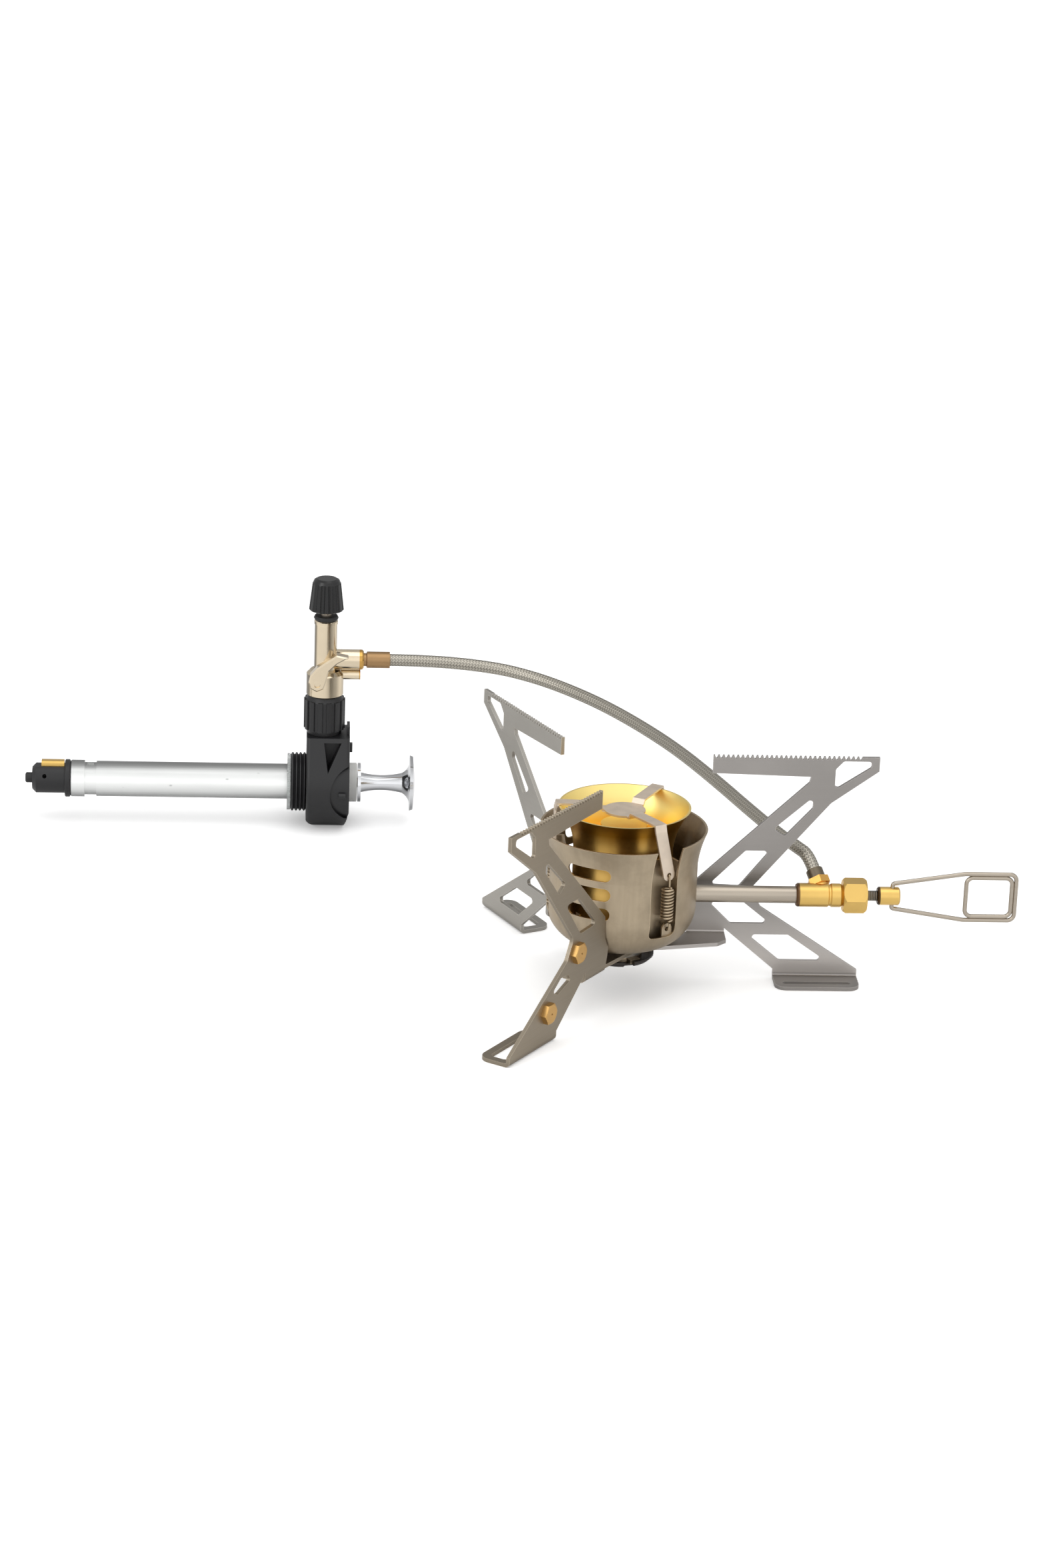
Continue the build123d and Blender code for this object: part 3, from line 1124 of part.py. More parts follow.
def check_ball():
    """Ball of the check valve in the sleeve."""
    x = SLEEVE_END + CHECK_CAVITY_LENGTH - CHECK_BALL_RADIUS - 0.1
    return Pos(x, PUMP_Y, PUMP_AXIS) * Sphere(CHECK_BALL_RADIUS)


def check_spring():
    """Spring that holds the check ball on its seat, as one plain sleeve."""
    end = SLEEVE_END + CHECK_CAVITY_LENGTH - 2 * CHECK_BALL_RADIUS - 0.4
    spring = lying(CHECK_CAVITY_RADIUS - 0.3, SLEEVE_END, end, PUMP_Y, PUMP_AXIS)
    return spring - lying(CHECK_CAVITY_RADIUS - 0.9, SLEEVE_END - 1, end + 1, PUMP_Y, PUMP_AXIS)


def cap_ring():
    """Flange ring between the sleeve and the end cap."""
    ring = lying(CAP_RING_RADIUS, CAP_RING_END, SLEEVE_END, PUMP_Y, PUMP_AXIS)
    return fillet(ring.edges().filter_by(GeomType.CIRCLE), 0.5)


def end_cap():
    """Black end cap with a small tip, a peg hole and a seat for the inlet."""
    outline = [
        (CAP_RING_END, 0), (CAP_RING_END, CAP_RADIUS), (CAP_END + 1.6, CAP_RADIUS),
        (CAP_END, CAP_RADIUS - 1.6), (CAP_END, CAP_TIP_RADIUS),
        (CAP_END - CAP_TIP_LENGTH + 0.5, CAP_TIP_RADIUS),
        (CAP_END - CAP_TIP_LENGTH, CAP_TIP_RADIUS - 0.5), (CAP_END - CAP_TIP_LENGTH, 0),
    ]
    body = turned_along_x(outline, PUMP_Y, PUMP_AXIS)
    flat = PUMP_AXIS + CAP_RADIUS - 0.6
    body -= block(CAP_END - 1, CAP_RING_END, PUMP_Y - CAP_RADIUS, PUMP_Y + CAP_RADIUS, flat, flat + 5)
    peg_hole = Pos(CAP_END + 5.3, PUMP_Y - CAP_RADIUS, PUMP_AXIS + 2.6) * Rot(90, 0, 0)
    return body - peg_hole * Cylinder(0.9, 8)


def fuel_inlet():
    """Brass fuel inlet with its gauze seat, on the end cap's flat."""
    flat = PUMP_AXIS + CAP_RADIUS - 0.6
    start = CAP_RING_END - 0.3 - INLET_LENGTH
    half = INLET_WIDTH / 2
    body = block(start, start + INLET_LENGTH, PUMP_Y - half, PUMP_Y + half, flat, flat + INLET_RISE)
    body = fillet(body.edges().filter_by(Axis.X).sort_by(Axis.Z)[-2:], 1.0)
    return body


def rod_guide():
    """White guide bush for the plunger rod."""
    bush = lying(GUIDE_RADIUS, HEAD_END, GUIDE_END, PUMP_Y, PUMP_AXIS)
    bush = fillet(bush.edges().sort_by(Axis.X)[-1], 0.5)
    bush += lying(GUIDE_RADIUS - 2.3, HEAD_END - GUIDE_DEPTH, HEAD_END, PUMP_Y, PUMP_AXIS)
    bore = ROD_RADIUS + RUNNING_CLEARANCE
    return bush - lying(bore, HEAD_END - GUIDE_DEPTH - 1, GUIDE_END + 1, PUMP_Y, PUMP_AXIS)


def plunger_handle():
    """Turned aluminium pull: a thin disc, a waisted neck and a trumpet end."""
    start = GUIDE_END + HANDLE_GAP
    disc_end = start + PULL_DISC_THICKNESS
    neck_end = disc_end + PULL_NECK_LENGTH
    flare_end = neck_end + TRUMPET_FLARE
    end = flare_end + TRUMPET_THICKNESS
    lines = [
        Line((start, 0), (start, PULL_DISC_RADIUS)),
        Line((start, PULL_DISC_RADIUS), (disc_end, PULL_DISC_RADIUS)),
        Line((disc_end, PULL_DISC_RADIUS), (disc_end, PULL_NECK_END_RADIUS)),
        ThreePointArc((disc_end, PULL_NECK_END_RADIUS),
                      ((disc_end + neck_end) / 2, PULL_NECK_RADIUS),
                      (neck_end, PULL_NECK_END_RADIUS)),
        ThreePointArc((neck_end, PULL_NECK_END_RADIUS),
                      (neck_end + TRUMPET_FLARE * 0.62, PULL_NECK_END_RADIUS * 1.42),
                      (flare_end, TRUMPET_RADIUS)),
        Line((flare_end, TRUMPET_RADIUS), (end, TRUMPET_RADIUS - 0.5)),
        Line((end, TRUMPET_RADIUS - 0.5), (end + 0.7, TRUMPET_RADIUS * 0.4)),
        Line((end + 0.7, TRUMPET_RADIUS * 0.4), (end + 0.7, 0)),
        Line((end + 0.7, 0), (start, 0)),
    ]
    pull = Pos(0, PUMP_Y, PUMP_AXIS) * revolve(make_face(lines), Axis.X)
    return pull - lying(ROD_RADIUS, start - 1, start + 6, PUMP_Y, PUMP_AXIS)


def plunger_rod():
    """Steel rod from the pull to the piston."""
    start = PISTON_START - PISTON_NUT_LENGTH
    return lying(ROD_RADIUS, start, GUIDE_END + HANDLE_GAP + 6, PUMP_Y, PUMP_AXIS)


def piston_cup():
    """Leather piston cup on the rod's end."""
    radius = BORE_RADIUS - PISTON_CLEARANCE
    end = PISTON_START + PISTON_LENGTH
    outline = [
        (PISTON_START, ROD_RADIUS), (PISTON_START, radius - 2.0), (PISTON_START + 2.4, radius - 2.0),
        (PISTON_START + 2.4, radius), (end, radius), (end, ROD_RADIUS),
    ]
    return turned_along_x(outline, PUMP_Y, PUMP_AXIS)


def piston_nut():
    """Nut that holds the piston cup on the rod."""
    plane = Plane.YZ.offset(PISTON_START - PISTON_NUT_LENGTH)
    nut = extrude(plane * hexagon(PISTON_NUT_FLATS), amount=PISTON_NUT_LENGTH)
    nut = Pos(0, PUMP_Y, PUMP_AXIS) * nut
    return nut - lying(ROD_RADIUS, PISTON_START - 5, PISTON_START + 1, PUMP_Y, PUMP_AXIS)


def coupling_collar():
    """Ribbed black collar that screws the valve tower to the head."""
    bottom = HEAD_TOP + STACK_CLEARANCE
    top = bottom + COLLAR_HEIGHT
    core = COLLAR_RADIUS - COLLAR_RIB_DEPTH
    collar = turned([
        (TOWER_STEM_RADIUS + RUNNING_CLEARANCE, bottom), (core - 0.8, bottom), (core - 0.8, bottom + 2),
        (core, bottom + 2), (core, top - 2.0), (core - 1.2, top),
        (TOWER_STEM_RADIUS + RUNNING_CLEARANCE, top),
    ])
    for index in range(COLLAR_RIBS):
        rib = block(core - 1, COLLAR_RADIUS, -1.1, 1.1, bottom + 2, top - 1.6)
        rib = fillet(rib.edges().filter_by(Axis.Z).sort_by(Axis.X)[-2:], 0.4)
        collar += at_azimuth(rib, index * 360 / COLLAR_RIBS)
    return Pos(TOWER_X, PUMP_Y, 0) * collar


def valve_body():
    """Nickel-brass valve body: stem, base, post, side port, a second stub and the strap."""
    stem_bottom = HEAD_TOP - TOWER_STEM_DEPTH
    body = upright(TOWER_STEM_RADIUS, stem_bottom, BASE_BOTTOM)
    body += turned([
        (0, BASE_BOTTOM), (BASE_RADIUS - 0.6, BASE_BOTTOM), (BASE_RADIUS, BASE_BOTTOM + 0.6),
        (BASE_RADIUS, BASE_TOP - 1.5), (BASE_RADIUS - 1.5, BASE_TOP), (0, BASE_TOP),
    ])
    body += upright(POST_RADIUS, BASE_TOP, POST_TOP - 1)
    collar = upright(POST_COLLAR_RADIUS, POST_TOP - POST_COLLAR_HEIGHT, POST_TOP)
    body += chamfer(collar.edges().sort_by(Axis.Z)[-1], 0.6)
    port = lying(SIDE_PORT_RADIUS, 0, SIDE_PORT_REACH, 0, SIDE_PORT_LEVEL)
    port = chamfer(port.edges().sort_by(Axis.X)[-1], 0.6)
    body += port
    stub_level = SIDE_PORT_LEVEL - STUB_BELOW_PORT
    body += lying(STUB_RADIUS, 0, STUB_REACH, 0, stub_level)
    body += valve_strap()
    bore = VALVE_SPINDLE_RADIUS + RUNNING_CLEARANCE
    body -= upright(bore, POST_TOP - VALVE_SPINDLE_DEPTH, POST_TOP + 1)
    return Pos(TOWER_X, PUMP_Y, 0) * body


def valve_strap():
    """The slanting strap cast on the front of the valve body, with a dimple in its lower end."""
    near = -BASE_RADIUS - STRAP_AHEAD
    face = make_face(Polyline(*STRAP_CORNERS, close=True))
    strap = standing(Pos(0, SIDE_PORT_LEVEL) * face, near, STRAP_THICKNESS)
    strap = chamfer(strap.faces().sort_by(Axis.Y)[0].edges(), STRAP_EDGE)
    x, rise = STRAP_DIMPLE
    centre = Vector(x, near - 1, SIDE_PORT_LEVEL + rise)
    return strap - pointing(STRAP_DIMPLE_RADIUS, centre, Vector(0, 1, 0), STRAP_DIMPLE_DEPTH + 1)


def pump_ferrule():
    """Copper ferrule crimped on the hose's end at the pump."""
    end = SIDE_PORT_END + PUMP_FERRULE_LENGTH
    outline = [
        (SIDE_PORT_END, 0), (SIDE_PORT_END, PUMP_FERRULE_RADIUS - 0.7),
        (SIDE_PORT_END + 1.1, PUMP_FERRULE_RADIUS - 0.7), (SIDE_PORT_END + 1.4, PUMP_FERRULE_RADIUS),
        (end, PUMP_FERRULE_RADIUS), (end, 0),
    ]
    return turned_along_x(outline, PUMP_Y, SIDE_PORT_LEVEL)


def valve_spindle():
    """Steel spindle of the pump's fuel valve."""
    return upright(VALVE_SPINDLE_RADIUS, POST_TOP - VALVE_SPINDLE_DEPTH + 0.5,
                   KNOB_BOTTOM + 6, TOWER_X, PUMP_Y)


def valve_o_ring():
    """Rubber ring on the valve post."""
    half = O_RING_HEIGHT / 2
    centre = POST_TOP + half
    inner = VALVE_SPINDLE_RADIUS + RUNNING_CLEARANCE
    return Pos(TOWER_X, PUMP_Y, 0) * turned([
        (inner, POST_TOP), (O_RING_RADIUS - 0.4, POST_TOP), (O_RING_RADIUS, centre),
        (O_RING_RADIUS - 0.4, O_RING_TOP), (inner, O_RING_TOP),
    ])


def valve_knob():
    """Fluted black knob of the pump's fuel valve, wider at its skirt."""
    crown = KNOB_RADIUS - KNOB_TAPER
    knob = turned([
        (0, KNOB_BOTTOM), (KNOB_RADIUS - 0.4, KNOB_BOTTOM), (KNOB_RADIUS, KNOB_BOTTOM + 0.4),
        (crown, KNOB_TOP - 2.0), (crown - 0.7, KNOB_TOP - 0.6), (crown - 1.8, KNOB_TOP),
        (0, KNOB_TOP),
    ])
    foot = Vector(KNOB_RADIUS + 0.5, 0, KNOB_BOTTOM)
    slope = Vector(-KNOB_TAPER, 0, KNOB_HEIGHT - 2.0).normalized()
    flute = pointing(KNOB_FLUTE_RADIUS, foot - slope, slope, KNOB_HEIGHT - 0.6)
    for index in range(KNOB_FLUTES):
        knob -= at_azimuth(flute, (index + 0.5) * 360 / KNOB_FLUTES)
    knob -= upright(VALVE_SPINDLE_RADIUS, KNOB_BOTTOM - 1, KNOB_BOTTOM + 6)
    return Pos(TOWER_X, PUMP_Y, 0) * knob


CORD_NODES = ("fuel_hose",)


def main():
    """Make every piece, put the origin at the bottom centre and write the files."""
    rear = leg(REAR_TAB_TOP)
    front = leg(FRONT_TAB_TOP, solid_shin=True)
    pieces = {
        "wind_cup": wind_cup(),
        "burner_bell": burner_bell(),
        "flame_ring": flame_ring(),
        "mixing_tube": mixing_tube(),
        "flame_spreader": flame_spreader(),
        "clip_springs": clip_springs(),
        "spring_hooks": spring_hooks(),
        "hub_plate": hub_plate(),
        "priming_dish": priming_dish(),
        "hub_screw": hub_screw(),
        "hub_nut": hub_nut(),
        "priming_pad": priming_pad(),
        "fixed_leg": leg(FIXED_TAB_TOP, slot_edge=FIXED_FOOT_SLOT_EDGE),
        "front_leg": at_azimuth(front, FRONT_LEG_AZIMUTH),
        "rear_leg": at_azimuth(rear, REAR_LEG_AZIMUTH),
        "spare_jets": spare_jets(),
        "main_jet": Pos(0, 0, JET_BLOCK_TOP) * jet(),
        "jet_block": jet_block(),
        "fuel_tube": fuel_tube(),
        "valve_block": valve_block(),
        "hose_port": hose_port(),
        "stove_ferrule": stove_ferrule(),
        "gland_nut": gland_nut(),
        "gland_packing": gland_packing(),
        "flame_spindle": flame_spindle(),
        "handle_coupler": handle_coupler(),
        "wire_handle": wire_handle(),
        "fuel_hose": fuel_hose(),
        "pump_ferrule": pump_ferrule(),
        "valve_body": valve_body(),
        "valve_spindle": valve_spindle(),
        "valve_o_ring": valve_o_ring(),
        "valve_knob": valve_knob(),
        "coupling_collar": coupling_collar(),
        "pump_head": pump_head(),
        "bottle_seal": bottle_seal(),
        "pump_barrel": pump_barrel(),
        "barrel_sleeve": barrel_sleeve(),
        "check_ball": check_ball(),
        "check_spring": check_spring(),
        "cap_ring": cap_ring(),
        "end_cap": end_cap(),
        "fuel_inlet": fuel_inlet(),
        "rod_guide": rod_guide(),
        "plunger_handle": plunger_handle(),
        "plunger_rod": plunger_rod(),
        "piston_cup": piston_cup(),
        "piston_nut": piston_nut(),
    }
    boxes = [piece.bounding_box() for name, piece in pieces.items() if name not in CORD_NODES]
    middle_x = (min(box.min.X for box in boxes) + max(box.max.X for box in boxes)) / 2
    middle_y = (min(box.min.Y for box in boxes) + max(box.max.Y for box in boxes)) / 2
    print("moved by %.4f %.4f" % (-middle_x, -middle_y))
    os.makedirs("parts", exist_ok=True)
    for name, piece in pieces.items():
        export_step(piece.translate((-middle_x, -middle_y, 0)), "parts/%s.step" % name)


main()
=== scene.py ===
"""Camping stove with its hose and fuel pump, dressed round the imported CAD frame.

All lengths are in metres, in the row's frame. Places on the stove are given from the
burner's axis at table height, as in the CAD source.
"""
import json
import math

import bpy
from mathutils import Matrix, Vector


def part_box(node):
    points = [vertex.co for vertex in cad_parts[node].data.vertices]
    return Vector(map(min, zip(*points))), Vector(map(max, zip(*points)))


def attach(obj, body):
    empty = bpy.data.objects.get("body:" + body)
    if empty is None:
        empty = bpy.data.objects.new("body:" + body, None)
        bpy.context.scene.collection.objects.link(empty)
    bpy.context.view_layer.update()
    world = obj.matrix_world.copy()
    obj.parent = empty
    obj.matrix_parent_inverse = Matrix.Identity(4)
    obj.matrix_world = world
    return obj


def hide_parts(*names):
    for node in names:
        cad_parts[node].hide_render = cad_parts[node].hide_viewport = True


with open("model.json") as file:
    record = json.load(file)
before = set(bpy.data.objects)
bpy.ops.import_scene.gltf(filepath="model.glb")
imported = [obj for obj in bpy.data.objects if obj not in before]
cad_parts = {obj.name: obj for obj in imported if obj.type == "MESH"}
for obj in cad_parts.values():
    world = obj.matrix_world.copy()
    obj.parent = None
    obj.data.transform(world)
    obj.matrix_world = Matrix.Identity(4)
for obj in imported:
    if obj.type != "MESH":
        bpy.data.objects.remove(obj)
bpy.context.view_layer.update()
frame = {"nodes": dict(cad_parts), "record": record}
nodes = frame["nodes"]

screw_low, screw_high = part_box("hub_screw")
BURNER = Vector(((screw_low.x + screw_high.x) / 2, (screw_low.y + screw_high.y) / 2, 0))

# Places that the CAD source also has: pipe levels, starts and ends along X, and leg directions
TUBE_LEVEL = 0.0384
PUMP_Y = 0.1799
PUMP_AXIS = 0.0177
BLOCK_START = 0.0677
COUPLER_START = 0.0994
SIDE_PORT_END = -0.0973
FRONT_LEG_AZIMUTH = -124.8
REAR_LEG_AZIMUTH = 115.3

# Bands of another colour on brass pieces, from start to end along X from the burner
BLOCK_BAND = (BLOCK_START - 0.0010, BLOCK_START + 0.0013)
COUPLER_BAND = (COUPLER_START - 0.0010, COUPLER_START + 0.0010)
PORT_BAND = (SIDE_PORT_END - 0.0018, SIDE_PORT_END + 0.0010)

# Levels between which a colour changes, first the level where the change starts
# Painted light: a leg drawn lighter low down, as the floor's reflection
PAINTED_LOW_LIGHT_LEVELS = (0.030, 0.009)
# Painted shade: the foot flanges drawn darker next to the table
LEG_FLANGE_SHADE = (0.0030, 0.0020)
# Painted shade: the cup drawn darker towards its bottom
CUP_BOTTOM_SHADE = (0.022, 0.013)

# The same inside and outside the bell, measured from its rim
BELL_BOWL = (-0.0120, -0.0060)
# Painted reflection: where the dark band under the rim turns to gold
BELL_SKIRT = (-0.005, -0.011)

# Width of edges drawn lighter, for wear and as painted highlight
SHEET_WEAR_AND_HIGHLIGHT = 0.00025
BRASS_WEAR_AND_HIGHLIGHT = 0.0003
SOFT_WEAR_AND_HIGHLIGHT = 0.0004

# A wave texture repeats every 0.314 / scale metres, here each 0.7 mm
THREAD_WAVE_SCALE = 449

# Distance from the axis times the normal's outward part, in metres: inside faces are below it
BELL_INWARD = 0.002

# Stripes, as from black flags in a studio, by the normal's part along an axis from 0 to 1
VALVE_FLAGS = ("X", ((0.0, 0.16), (0.07, 0.30), (0.13, 1.0), (0.50, 0.95), (0.60, 0.80),
                     (0.68, 0.40), (0.80, 0.55), (0.90, 1.0), (1.0, 0.60)))
PULL_FLAGS = ("Z", ((0.0, 0.30), (0.18, 0.42), (0.30, 0.72), (0.45, 0.95), (0.70, 0.90),
                    (0.90, 0.60), (1.0, 0.75)))

# The photo's camera, from the burner's axis
PHOTO_WIDTH = 1568
PHOTO_HEIGHT = 2352
SENSOR = 36.0
FOCAL_PIXELS = 6366.1
CAMERA_PLACE = Vector((-0.13500, -1.52344, 0.62548))
CAMERA_YAW = math.radians(-3.583)
CAMERA_PITCH = math.radians(-19.593)
CAMERA_ROLL = math.radians(2.061)
CAMERA_CLIP = (0.05, 30)

# Hose: the points of the CAD route, from the pump's ferrule to the stove's
HOSE_DIAMETER = 0.0050
HOSE_ROUTE = [
    (-0.08630, 0.17990, 0.07260),
    (-0.06840, 0.17990, 0.07260),
    (-0.04260, 0.17860, 0.07060),
    (-0.02670, 0.17350, 0.06850),
    (-0.01280, 0.16340, 0.06680),
    (0.00200, 0.14770, 0.06500),
    (0.01620, 0.12880, 0.06260),
    (0.02990, 0.10580, 0.06020),
    (0.04280, 0.07840, 0.05720),
    (0.05500, 0.04850, 0.05440),
    (0.06350, 0.02900, 0.05260),
    (0.06960, 0.01780, 0.05140),
    (0.07338, 0.01246, 0.05030),
    (0.07541, 0.00761, 0.04567),
]

# Braid: bands each way, depth of the relief, its mean, and how high a band is where it dips under
BRAID_BANDS = 12
BRAID_RELIEF = 0.00028
BRAID_MEAN_LIFT = 0.62
BAND_ROUNDNESS = 2.5
BAND_UNDER = 0.35

# Points round each ring of the hose's mesh, and the step between rings along its line
RING_POINTS = 72
RING_STEP = 0.00022

# Soft pieces in the cup and on the pump's rod
PAD_INNER_RADIUS = 0.0064
PAD_EDGE_SHARE = 0.35
PAD_CROWN_SHARE = 0.62
PAD_OUTLINE_STEPS = 24
PAD_TURNED_STEPS = 160
PAD_RIPPLE = 0.00012
PAD_YARNS = 40
PAD_RINGS = 6000
ROD_RADIUS = 0.0020

# Floor: what the camera sees, what diffuse light meets and what metal reflects
FLOOR_HALF = 6.0
FLOOR_FILL = 0.28
FLOOR_SEEN = (0.98, 0.98, 0.98)
FLOOR_BOUNCE = (0.60, 0.60, 0.60)
FLOOR_REFLECTED = (0.90, 0.90, 0.90)

# Studio dome: strength from low to high, and in reflections from the front to the back
WORLD_LOW = 0.12
WORLD_HIGH = 1.05
WORLD_HEIGHTS = (0.05, 0.75)
WORLD_FRONT = 1.30
WORLD_BACK = 0.45

# Soft lights: place, aim and size
TOP_LIGHT = ((0.15, -0.1, 1.5), (0, 0, 0), (1.3, 1.0))
LEFT_LIGHT = ((-1.2, -0.9, 0.9), (0, 0, 0.05), (0.8, 0.8))
LIGHT_POWER = 4


class Tree:
    """Short hand for building a node tree."""

    def __init__(self, tree):
        self.tree = tree
        self.tree.nodes.clear()

    def add(self, kind, **settings):
        """A new node with these settings."""
        node = self.tree.nodes.new(kind)
        for key, value in settings.items():
            setattr(node, key, value)
        return node

    def link(self, source, target):
        """A link from an output to an input."""
        self.tree.links.new(source, target)

    def part(self, vector, axis):
        """The vector's X, Y or Z."""
        split = self.add("ShaderNodeSeparateXYZ")
        self.link(vector, split.inputs[0])
        return split.outputs[axis]

    def span(self, value, low, high, to_low=0.0, to_high=1.0):
        """The value moved from one range to another, and held at its ends."""
        node = self.add("ShaderNodeMapRange")
        self.link(value, node.inputs["Value"])
        node.inputs["From Min"].default_value = low
        node.inputs["From Max"].default_value = high
        node.inputs["To Min"].default_value = to_low
        node.inputs["To Max"].default_value = to_high
        return node.outputs["Result"]

    def choose(self, factor, first, second):
        """The first number where the factor is 0, the second where it is 1."""
        node = self.add("ShaderNodeMix", data_type="FLOAT")
        for index, value in ((0, factor), (2, first), (3, second)):
            if isinstance(value, float):
                node.inputs[index].default_value = value
            else:
                self.link(value, node.inputs[index])
        return node.outputs[0]


class Nodes(Tree):
    """One material with its node tree and its shader."""

    def __init__(self, name):
        self.material = bpy.data.materials.new(name)
        self.material.use_nodes = True
        super().__init__(self.material.node_tree)
        self.shader = self.add("ShaderNodeBsdfPrincipled")
        output = self.add("ShaderNodeOutputMaterial")
        self.link(self.shader.outputs["BSDF"], output.inputs["Surface"])
        self.place = self.add("ShaderNodeTexCoord").outputs["Object"]
        self.normal = self.add("ShaderNodeNewGeometry").outputs["Normal"]

    def math(self, operation, first, second=None, third=None):
        """The result of a sum on numbers or outputs."""
        node = self.add("ShaderNodeMath", operation=operation)
        for index, value in enumerate((first, second, third)):
            if value is None:
                continue
            if isinstance(value, (int, float)):
                node.inputs[index].default_value = value
            else:
                self.link(value, node.inputs[index])
        return node.outputs[0]

    def moved(self, vector, offset=(0, 0, 0), turn=(0, 0, 0), scale=(1, 1, 1)):
        """The vector as seen from offset, turned back by turn and scaled."""
        shift = self.add("ShaderNodeVectorMath", operation="SUBTRACT")
        self.link(vector, shift.inputs[0])
        shift.inputs[1].default_value = offset
        mapping = self.add("ShaderNodeMapping")
        self.link(shift.outputs[0], mapping.inputs["Vector"])
        mapping.inputs["Rotation"].default_value = [-angle for angle in turn]
        mapping.inputs["Scale"].default_value = scale
        return mapping.outputs[0]

    def level(self, centre, low, high):
        """0 to 1 between two levels, from a centre."""
        return self.span(self.part(self.moved(self.place, centre), "Z"), low, high)

    def facing(self, axis):
        """The normal's part along an axis, from 0 to 1."""
        return self.math("MULTIPLY_ADD", self.part(self.normal, axis), 0.5, 0.5)

    def round_axis(self, centre, axis, radius):
        """Arc length round an axis, place along it, and distance from it, as one vector."""
        local = self.moved(self.place, centre)
        order = {"Z": "XYZ", "X": "YZX"}[axis]
        across, up, along = [self.part(local, name) for name in order]
        angle = self.math("ARCTAN2", up, across)
        squares = self.math("ADD", self.math("MULTIPLY", across, across),
                            self.math("MULTIPLY", up, up))
        joined = self.add("ShaderNodeCombineXYZ")
        self.link(self.math("MULTIPLY", angle, radius), joined.inputs[0])
        self.link(along, joined.inputs[1])
        self.link(self.math("SQRT", squares), joined.inputs[2])
        return joined.outputs[0]

    def noise(self, vector, scale, detail=3.0, roughness=0.5):
        """Cloudy noise, about 0.5."""
        node = self.add("ShaderNodeTexNoise")
        self.link(vector, node.inputs["Vector"])
        node.inputs["Scale"].default_value = scale
        node.inputs["Detail"].default_value = detail
        node.inputs["Roughness"].default_value = roughness
        return node.outputs["Fac"]

    def ramp(self, factor, *stops):
        """A colour or a grey by its place between the stops."""
        node = self.add("ShaderNodeValToRGB")
        self.link(factor, node.inputs[0])
        elements = node.color_ramp.elements
        while len(elements) < len(stops):
            elements.new(0.5)
        for element, (place, colour) in zip(elements, stops):
            element.position = place
            if isinstance(colour, (int, float)):
                colour = (colour,) * 3
            element.color = (*colour, 1)
        return node.outputs["Color"]

    def mix(self, factor, first, second, blend="MIX"):
        """Two colours mixed. The node's colours are its inputs 6 and 7 and its output 2."""
        node = self.add("ShaderNodeMix", data_type="RGBA", blend_type=blend)
        for index, value in ((0, factor), (6, first), (7, second)):
            if isinstance(value, (int, float)):
                node.inputs[index].default_value = value
            elif isinstance(value, tuple):
                node.inputs[index].default_value = (*value, 1)
            else:
                self.link(value, node.inputs[index])
        return node.outputs[2]

    def along_normal(self, vector):
        """The vector's part along the face's normal."""
        node = self.add("ShaderNodeVectorMath", operation="DOT_PRODUCT")
        self.link(vector, node.inputs[0])
        self.link(self.normal, node.inputs[1])
        return node.outputs["Value"]

    def edges(self, radius):
        """1 on edges that are sharper than the radius, 0 on flat faces."""
        rounded = self.add("ShaderNodeBevel", samples=4)
        rounded.inputs["Radius"].default_value = radius
        return self.ramp(self.along_normal(rounded.outputs[0]), (0.80, 1.0), (0.97, 0.0))

    def finish(self, colour, roughness, metallic, bumps=(), **plain):
        """Set the shader and give the material.

        Each bump is (height, depth in metres). Plain are other inputs, with _ for a space.
        """
        inputs = self.shader.inputs
        for name, value in (("Base Color", colour), ("Roughness", roughness)):
            if isinstance(value, (int, float)):
                inputs[name].default_value = value
            elif isinstance(value, tuple):
                inputs[name].default_value = (*value, 1)
            else:
                self.link(value, inputs[name])
        inputs["Metallic"].default_value = metallic
        for name, value in plain.items():
            inputs[name.replace("_", " ")].default_value = value
        normal = None
        for height, depth in bumps:
            bump = self.add("ShaderNodeBump")
            bump.inputs["Strength"].default_value = 1.0
            bump.inputs["Distance"].default_value = depth
            self.link(height, bump.inputs["Height"])
            if normal is not None:
                self.link(normal, bump.inputs["Normal"])
            normal = bump.outputs[0]
        if normal is not None:
            self.link(normal, inputs["Normal"])
        return self.material


def shade(colour, factor):
    """The colour, lighter or darker."""
    return tuple(min(channel * factor, 1.0) for channel in colour)


def brushed_sheet(name, colour, azimuth, painted_low_light=1.0):
    """Steel sheet brushed level along a leg, with faint mottling, and worn edges drawn lighter,
    partly as painted highlight.

    Painted low light: how much lighter the sheet is drawn near the table, as a painted reflection
    of the floor.
    """
    m = Nodes(name)
    grain_space = m.moved(m.place, BURNER, (0, 0, math.radians(azimuth)), (60, 60, 2600))
    grain = m.noise(grain_space, 1.0, 2.0)
    mottle = m.noise(m.place, 70, 4.0)
    cloud = m.noise(m.place, 14, 2.0)
    base = m.mix(mottle, shade(colour, 0.90), shade(colour, 1.07))
    base = m.mix(m.ramp(cloud, (0.35, 0.0), (0.7, 0.5)), base, shade(colour, 0.78))
    # Painted light: the sheet lighter near the table
    base = m.mix(m.level(BURNER, *PAINTED_LOW_LIGHT_LEVELS), base, shade(colour, painted_low_light))
    # Painted shade on the foot flanges
    base = m.mix(m.level(BURNER, *LEG_FLANGE_SHADE), base, shade(colour, 0.88))
    # Edges drawn lighter: wear and painted highlight
    base = m.mix(m.edges(SHEET_WEAR_AND_HIGHLIGHT), base, shade(colour, 2.1))
    rough = m.math("ADD", 0.35, m.math("MULTIPLY", grain, 0.16))
    return m.finish(base, rough, 1.0, [(grain, 0.000006), (mottle, 0.00003)])


